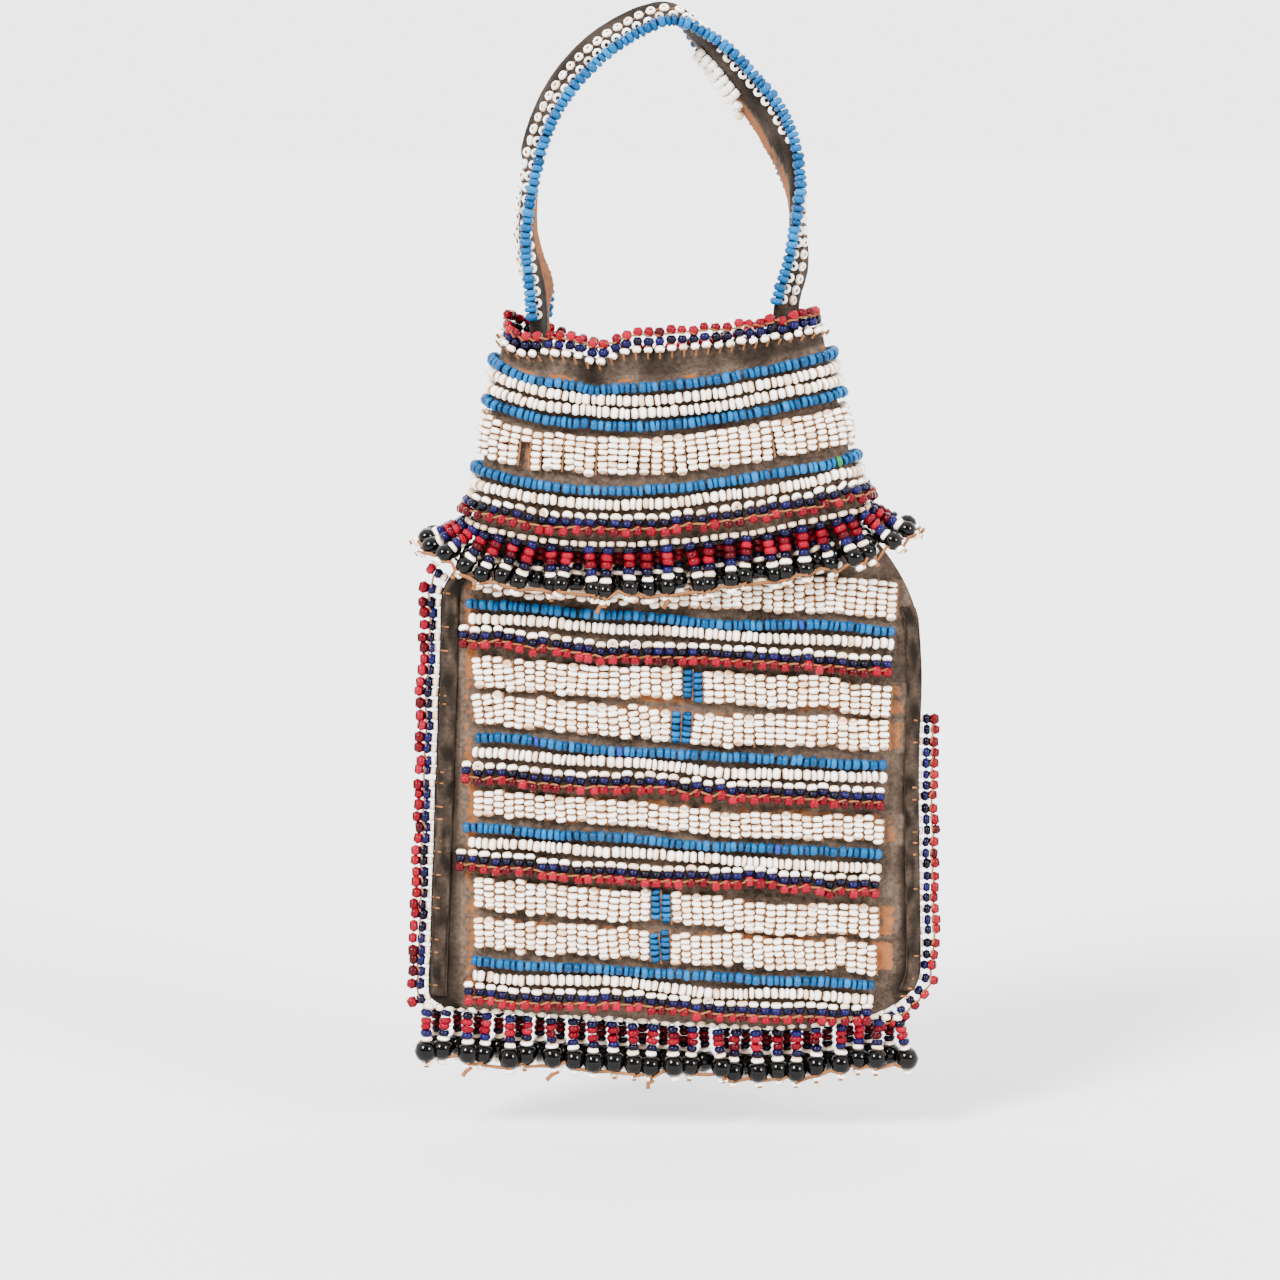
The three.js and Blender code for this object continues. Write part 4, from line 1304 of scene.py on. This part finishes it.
hem = hem_line()
hem_reach = [point.x for point in hem]
BASE_RAISE = 0.5
CORNER_RAISE = 4.2
CORNER_SWING = 0.24
CORNER_SWING_OVER = 4
STAGGER = 0.9
FRONT_ROW = -1.5
BASE_APART = 0.85
BOTTOM_BACK_SPACE = BACK_SPACE + 0.6
PAST_LEFT_END = 1.5
SHORT_OF_RIGHT_END = 1.4
first_strand = hem[0].x - PAST_LEFT_END
last_strand = hem[-1].x - SHORT_OF_RIGHT_END
strand_count = round((last_strand - first_strand) / STRAND_PITCH)


def hem_place(across):
    step, share = find_span(hem_reach, clamp(across, hem_reach[0] + 0.01, hem_reach[-1] - 0.01))
    straight = hem[0].z - ROW_SLOPE * (across - hem[0].x)
    return Vector((across, 0, min(lerp(hem[step].z, hem[step + 1].z, share), straight + CORNER_RAISE)))


for side in (-1, 1):
    path = [hem_place(across) for across in spread(first_strand - 1, last_strand + 0.5, 60)]
    path = [point + Vector((0, BASE_APART * side, BASE_RAISE)) for point in path]
    strung_row(
        "bottom_fringe",
        "white",
        path,
        length=BASE_PITCH,
        girth=BASE_GIRTH,
        variety=0.2,
        fill=0.9,
        lightest=0.14,
    )
bottom_tips = []
for number, across in enumerate(spread(first_strand, last_strand, strand_count)):
    depth = FRONT_ROW + STAGGER * (number % 2)
    swing = CORNER_SWING * smoothstep(across, last_strand - CORNER_SWING_OVER, last_strand)
    direction = Vector((dice.gauss(0, 0.06) + swing, dice.gauss(0, 0.03), -1))
    top = hem_place(across) + Vector((dice.gauss(0, 0.2), depth, BASE_RAISE))
    bottom_tips.append(hang_strand("bottom_fringe", top, direction, BOTTOM_LARGE, BOTTOM_STRETCH))
    if number < strand_count:
        top = hem_place(across + STRAND_PITCH / 2) + Vector((0, depth + BOTTOM_BACK_SPACE, BASE_RAISE))
        hang_strand("bottom_fringe", top, Vector((0, 0.03, -1)), BOTTOM_LARGE, BOTTOM_STRETCH, True)
tip_sinew("bottom_fringe", bottom_tips, [Vector((0, -1, 0))] * len(bottom_tips))

# Loose ends of the sinew, at places along each fringe
LOOSE_ENDS = {"bottom_fringe": (-46, -23, -4), "neck_fringe": (-14, 1)}
for region, tips in (("bottom_fringe", bottom_tips), ("neck_fringe", neck_tips)):
    for place in LOOSE_ENDS[region]:
        near = [entry for entry in tips if entry[0].y < 3]
        tip, direction = min(near, key=lambda entry: abs(entry[0].x - place) + abs(entry[0].y) * 0.01)
        end = tip + Vector((dice.uniform(-2.2, 1.2), -0.8, -2.2))
        tip_nubs.append((region, [tip + Vector((0.6, -0.9, -0.2)), tip.lerp(end, 0.5) + jitter(0.2), end]))

# Bead pieces

REPLACED = {
    ("strap", "blue"): ["strap_front_blue_row", "strap_back_blue_row"],
    ("strap", "white"): ["strap_white_row_1", "strap_white_row_2", "strap_inner_white_patch"],
    ("mouth", "red"): ["mouth_edging"],
    ("neck", "blue"): [f"neck_blue_row_{number}" for number in (1, 2, 3)],
    ("neck", "white"): [f"neck_white_row_{number}" for number in (1, 2, 3)] + ["neck_white_band"],
    ("neck", "red"): ["neck_picot_row"],
    ("neck_fringe", "black"): ["neck_fringe"],
    ("pouch_rows", "blue"): [f"blue_row_{number}" for number in (1, 2, 3, 4)],
    ("pouch_rows", "white"): [f"white_row_{number}" for number in (1, 2, 3, 4)],
    ("pouch_rows", "red"): [f"picot_row_{number}" for number in (1, 2, 3, 4)],
    ("pouch_bands", "blue"): [f"blue_tick_{number}" for number in (2, 3, 5, 6)],
    ("pouch_bands", "white"): ["white_band_1", "white_band_4"]
    + [f"white_band_{side}_{number}" for side in ("left", "right") for number in (2, 3, 5, 6)],
    ("edging", "navy"): ["left_edging", "right_edging"],
    ("bottom_fringe", "black"): ["bottom_fringe"],
}
RING_HOLE = 0.36
SMALL_HOLE = 0.16
LARGE_STEPS = (16, 9)
SMALL_STEPS = (9, 6)
ROUNDNESS = {"blue": 0.4, "white": 0.4, "red": 0.9, "navy": 0.7, "black": 1.1}
LEG_ROUNDNESS = 0.2
RIM_SHARE = {"strap": 0.4, "edging": 1.5}
GREEN_PLACE = Vector((35.9, -8, -93.2))

neck_blues = beads[("neck", "blue")]
nearest = min(range(len(neck_blues)), key=lambda at: (neck_blues[at][0] - GREEN_PLACE).length)
neck_blues[nearest] = (*neck_blues[nearest][:4], GREEN)

bead_tree = make_bead_tree()
thread_tree = make_thread_tree()

for (region, colour), group in beads.items():
    piece = add_piece(f"{region}_{colour}_beads", [place for place, *_ in group])
    threads = piece.data.attributes.new("thread", "FLOAT_VECTOR", "POINT")
    threads.data.foreach_set("vector", [part for _, thread, *_ in group for part in thread])
    for title, at, scale in (("girth", 2, MM), ("span", 3, MM), ("tint", 4, 1)):
        values = piece.data.attributes.new(title, "FLOAT", "POINT")
        values.data.foreach_set("value", [entry[at] * scale for entry in group])
    is_large = colour == "black"
    around, across = LARGE_STEPS if is_large else SMALL_STEPS
    grow(
        piece,
        bead_tree,
        {
            "Hole": RING_HOLE if (region, colour) == ("strap", "white") else SMALL_HOLE,
            "Steps Around": around,
            "Steps Across": across,
            "Roundness": LEG_ROUNDNESS if "fringe" in region and not is_large else ROUNDNESS[colour],
            "Rim Share": RIM_SHARE.get(region, 1.0),
            "Seed": len(group),
            "Material": GLASS[colour],
        },
    )
    seat(piece, REPLACED.get((region, colour), ()))

# Sinew: through the picots and rings, and on the tips of each fringe

SINEW = 0.48
TIP_SINEW = 0.864
NUB_SINEW = 1.008
SINEW_SIDES = 5


def thread_piece(name, lines, diameter):
    points = []
    edges = []
    for line in lines:
        edges += [(len(points) + step, len(points) + step + 1) for step in range(len(line) - 1)]
        points += line
    piece = add_piece(name, points, edges)
    grow(piece, thread_tree, {"Diameter": diameter * MM, "Sides": SINEW_SIDES, "Material": sinew_look})
    seat(piece)


for region, lines in sinew_lines.items():
    thread_piece(f"{region}_sinew", lines, SINEW)
for region, line in tip_lines.items():
    nubs = [nub for owner, nub in tip_nubs if owner == region]
    thread_piece(f"{region}_tip_sinew", [line], TIP_SINEW)
    thread_piece(f"{region}_tip_nubs", nubs, NUB_SINEW)

# Hide pieces are closed shells with creases; a high wear value is where the surface is rubbed to bare suede,
# and a value below 0 darkens the hide: painted shade on the bare strips, darker tone elsewhere


def shell(name, rings, wear_and_shade, replaced, closed=False):
    """Skin over rings of points, capped at its ends, with a value for each point of its wear, which below 0
    darkens the hide, partly as painted shade.
    """
    size = len(rings[0])
    faces = []
    spans = len(rings) if closed else len(rings) - 1
    for ring in range(spans):
        here = ring * size
        after = ((ring + 1) % len(rings)) * size
        for side in range(size):
            turn = (side + 1) % size
            faces.append((here + side, here + turn, after + turn, after + side))
    if not closed:
        last = (len(rings) - 1) * size
        for side in range(size // 2 - 1):
            far = size - 1 - side
            faces.append((side, far, far - 1, side + 1))
            faces.append((last + side, last + side + 1, last + far - 1, last + far))
    points = [point for ring in rings for point in ring]
    piece = add_piece(name, points, (), faces)
    values = piece.data.attributes.new("wear_and_shade", "FLOAT", "POINT")
    values.data.foreach_set("value", [value for ring in wear_and_shade for value in ring])
    piece.data.materials.append(hide_look)
    piece.data.polygons.foreach_set("use_smooth", [True] * len(faces))
    piece.data.validate()
    seat(piece, replaced)


PUCKER = 0.3


def pucker(across, drop, seed):
    wide = rough(across * 0.16, drop * 0.3, seed)
    fine = rough(across * 0.5, drop * 0.7, seed + 9)
    return PUCKER * (wide + 0.5 * fine)


# How far the suede shows between the right end of each band and the border
SUEDE_BESIDE = [0.9, 1.2, 1.3, 1.2, 1.3, 1.3]
BESIDE_ROWS = 0.3
LEFT_STRIP = 1.2
UNDER_BAND = 0.5
# Painted shade: the hide darkens toward the pouch's edges
EDGE_SHADE = -0.2
EDGE_SHADE_REACH = (2.5, 5.5)


def pouch_wear_and_shade(across, drop, seed):
    rubbed = 0.2 + 0.6 * rough(across * 0.05, drop * 0.12, seed)
    left = math.exp(-(((across - row_left + 1.0) / 1.5) ** 2))
    right = math.exp(-(((across - row_right(drop) - 2.0) / 2.3) ** 4))
    beside = BESIDE_ROWS
    under_band = False
    for share, (count, _, top) in zip(SUEDE_BESIDE, body_bands):
        if top - 0.2 < drop < top + count * BEAD_LENGTH + 0.2:
            under_band = True
            beside = share
    in_rows = row_left < across < row_right(drop)
    edge = min(across - left_edge(drop), right_edge(drop) - across)
    # Painted shade toward the edges
    edge_shade = EDGE_SHADE * (1 - smoothstep(edge, *EDGE_SHADE_REACH))
    # Outside the rows the bare hide is darkened, painted shade to match the shaded hide between the rows
    base = 0.5 * rubbed if in_rows else 0.3 * rubbed - 0.47
    covered = UNDER_BAND if under_band and in_rows else 0
    return min(1, base + LEFT_STRIP * left + beside * right + covered + edge_shade)


CORNER_BAND = 4
INSIDE_WEAR = 0.6
BACK_WEAR = -0.2
HEM_DROP = 0.9
PANEL_COLUMNS = 84
PANEL_ROWS = 100
CORNER_ROWS = 14
EDGE_ALLOWANCE = 0.8


def pouch_panel(name, side):
    rings = []
    wear_and_shade = []
    drops = spread(NECK_LENGTH - POUCH_TUCK, POUCH_BOTTOM - CORNER_BAND, PANEL_ROWS)
    drops += [POUCH_BOTTOM - CORNER_BAND * (1 - share) ** 2 for share in spread(0, 1, CORNER_ROWS)[1:]]
    for drop in drops:
        ragged = EDGE_ALLOWANCE + 0.35 * rough(drop * 0.15, 2, 7)
        acrosses = spread(left_edge(drop) - ragged, right_seam(drop) + 0.4 * ragged, PANEL_COLUMNS)
        outer = []
        inner = []
        for at, across in enumerate(acrosses):
            hold = math.sin(math.pi * at / PANEL_COLUMNS) ** 0.5
            place = pouch_point(across, drop, hold * pucker(across, drop, side) - 0.1)
            outer.append(Vector((place.x, place.y * -side, place.z)))
            place = pouch_point(across, drop, -HIDE)
            inner.append(Vector((place.x, place.y * -side, place.z)))
        ring = [*outer, *reversed(inner)]
        rings.append(ring if side < 0 else ring[::-1])
        if side < 0:
            worn = [pouch_wear_and_shade(across, drop, side) for across in acrosses]
        else:
            worn = [BACK_WEAR + 0.22 * rough(across * 0.05, drop * 0.07, 8) for across in acrosses]
        worn = [*worn, *[INSIDE_WEAR] * len(worn)]
        wear_and_shade.append(worn if side < 0 else worn[::-1])
    rings.append([point - Vector((0, 0, HEM_DROP)) for point in rings[-1]])
    wear_and_shade.append(wear_and_shade[-1])
    shell(name, rings, wear_and_shade, [f"pouch_{'front' if side < 0 else 'back'}_panel"])


pouch_panel("pouch_front", -1)
pouch_panel("pouch_back", 1)


INNER_FALL = 0.6
BORDER_SINK = 0.25
BORDER_WEAR = -0.46
BORDER_ROWS = 120
BORDER_SIDES = 16


def border(name, edge, inward, bottom, replaced):
    rings = []
    wear_and_shade = []
    for drop in spread(side_start, bottom, BORDER_ROWS):
        start = edge(drop) - math.copysign(0.5 * EDGE_ALLOWANCE, inward)
        ring = []
        worn = []
        for step in range(BORDER_SIDES):
            turn = 2 * math.pi * step / BORDER_SIDES
            inner = 0.5 - 0.5 * signed_power(math.cos(turn), 0.6)
            across = start + inward * inner
            out = GAP + HIDE / 2 + HIDE * 0.6 * signed_power(math.sin(turn), 0.7)
            crease = 0.3 * rough(drop * 0.45, step * 0.4, inward)
            crease += 0.2 * rough(drop * 1.3, step * 0.6, inward)
            ring.append(pouch_point(across, drop, out + crease - BORDER_SINK - INNER_FALL * inner))
            worn.append(BORDER_WEAR + 0.4 * rough(drop * 0.25, step * 0.6, 4) + (0.1 if 6 < step < 10 else 0))
        rings.append(ring)
        wear_and_shade.append(worn)
    shell(name, rings, wear_and_shade, replaced)


border("left_binding", left_edge, LEFT_BORDER_WIDTH, left_corner_top, ["left_border"])
border("right_binding", right_seam, -RIGHT_BORDER_WIDTH, corner_top, ["right_border"])


NECK_SHELL_ROWS = 56
NECK_SHELL_STEPS = 260
NECK_INSIDE_WEAR = 0.35


def neck_shell():
    rings = []
    wear_and_shade = []
    drops = spread(0, NECK_LENGTH, NECK_SHELL_ROWS)
    for step in range(NECK_SHELL_STEPS):
        share = step / NECK_SHELL_STEPS
        turn = 2 * math.pi * share
        ring = []
        worn = []
        for drop in drops:
            bare = 1 - smoothstep(drop, 0, BARE_HIDE_BELOW_MOUTH + 1)
            pleat = (0.3 + 0.25 * bare) * rough(14 * math.cos(turn), 14 * math.sin(turn), drop * 0.08)
            pleat += 0.18 * rough(30 * math.cos(turn), 30 * math.sin(turn), drop * 0.25)
            place = neck_place(share, drop, pleat - 0.1)
            ring.append(place)
            edge = math.exp(-(((drop - BARE_HIDE_BELOW_MOUTH) / 0.7) ** 2))
            rubbed = rough(5 * math.cos(turn), 5 * math.sin(turn), drop * 0.2)
            torn = math.exp(-(((place.x - BROKEN_COLUMN) / 1.3) ** 2)) if place.y < 0 else 0
            torn *= 1 - smoothstep(abs(drop - neck_band_start - 4), 3, 5)
            frayed = 1.3 * edge * clamp(2.4 * rubbed + 0.3)
            # Below the mouth the bare strip is darkened: painted shade
            worn.append(-0.4 * clamp(2.5 * bare) + 0.3 * rubbed + frayed + 0.8 * torn)
        for drop in reversed(drops):
            ring.append(neck_place(share, drop, -HIDE))
            worn.append(NECK_INSIDE_WEAR)
        rings.append(ring)
        wear_and_shade.append(worn)
    shell("neck_hide", rings, wear_and_shade, ["neck_tube"], closed=True)


neck_shell()


def curl(along):
    """How far the back edge of the strap curls outward."""
    height = strap_height(along)
    if along < 0.5:
        return LEFT_TOP_CURL * smoothstep(height, *LEFT_TOP_CURL_FROM) - LEFT_CURL * left_limb(along)
    return RIGHT_CURL * smoothstep(-height, *RIGHT_CURL_FROM)


# Across the strap's inner face, from where the suede is bare; it widens down the right limb
BARE_FROM = 1.6
BARE_WIDENING = 4.4
STRAP_SHELL_WIDTHS = 12
STRAP_SHELL_STEPS = 220


def strap_shell():
    rings = []
    wear_and_shade = []
    widths = spread(-STRAP_WIDTH / 2, STRAP_WIDTH / 2, STRAP_SHELL_WIDTHS)
    for along in spread(0, 1, STRAP_SHELL_STEPS):
        ring = []
        worn = []
        height = strap_height(along)
        widened = smoothstep(-height, *BARE_LIMB_FROM) if along > 0.5 else 0
        bare_from = BARE_FROM - BARE_WIDENING * widened
        for side, order in ((-1, widths), (1, widths[::-1])):
            for width in order:
                edge = abs(width) / (STRAP_WIDTH / 2)
                thick = STRAP_THICKNESS / 2 * (1 - 0.55 * edge**4)
                crease = 0.16 * rough(along * 60, width * 0.5, side * 3)
                lift = curl(along) * max(0, (width + 1) / 7) ** 2
                ring.append(strap_point(along, width, side * (thick + crease - 0.1) + lift))
                strip = 0.85 if side < 0 and width > bare_from else -0.5
                worn.append(strip + 0.35 * rough(along * 22, width * 0.25, side))
        rings.append(ring)
        wear_and_shade.append(worn)
    shell("strap_hide", rings, wear_and_shade, ["strap"])


strap_shell()

# Floor, light and background

FLOOR_Z = -240
FLOOR_SIZE = 60
FLOOR_GREY = 0.72
SUN_SPREAD = 18


def add_floor():
    bpy.ops.mesh.primitive_plane_add(size=FLOOR_SIZE, location=(0, 0, FLOOR_Z * MM))
    floor = bpy.context.object
    floor.name = "floor"
    material, _, surface = new_material("pale_floor")
    surface.inputs["Base Color"].default_value = (FLOOR_GREY, FLOOR_GREY, FLOOR_GREY, 1)
    surface.inputs["Roughness"].default_value = 0.95
    floor.data.materials.append(material)


def add_light(name, place, strength):
    data = bpy.data.lights.new(name, "SUN")
    data.energy = strength
    data.angle = math.radians(SUN_SPREAD)
    light = bpy.data.objects.new(name, data)
    light.location = place
    light.rotation_euler = (-Vector(place)).to_track_quat("-Z", "Y").to_euler()
    bpy.context.scene.collection.objects.link(light)


# A bright backdrop behind the bag, and a dimmer room in front of it
ROOM = 0.5
BACKDROP = 3.6
ROOM_ENDS = -0.8
BACKDROP_STARTS = -0.25


def add_background():
    world = bpy.data.worlds.new("studio")
    bpy.context.scene.world = world
    world.use_nodes = True
    tree = world.node_tree
    background = next(node for node in tree.nodes if node.type == "BACKGROUND")
    background.inputs["Color"].default_value = (1, 1, 1, 1)
    around = output(add_node(tree, "ShaderNodeTexCoord"), "Generated")
    parts = add_node(tree, "ShaderNodeSeparateXYZ", {"Vector": around})
    strength = ranged(tree, output(parts, "Y"), ROOM_ENDS, BACKDROP_STARTS, ROOM, BACKDROP)
    tree.links.new(strength, background.inputs["Strength"])


add_camera()
add_floor()
add_light("key", (-0.7, -1.0, 0.85), 10)
add_light("fill", (0.8, -0.9, 0.5), 5.5)
add_background()
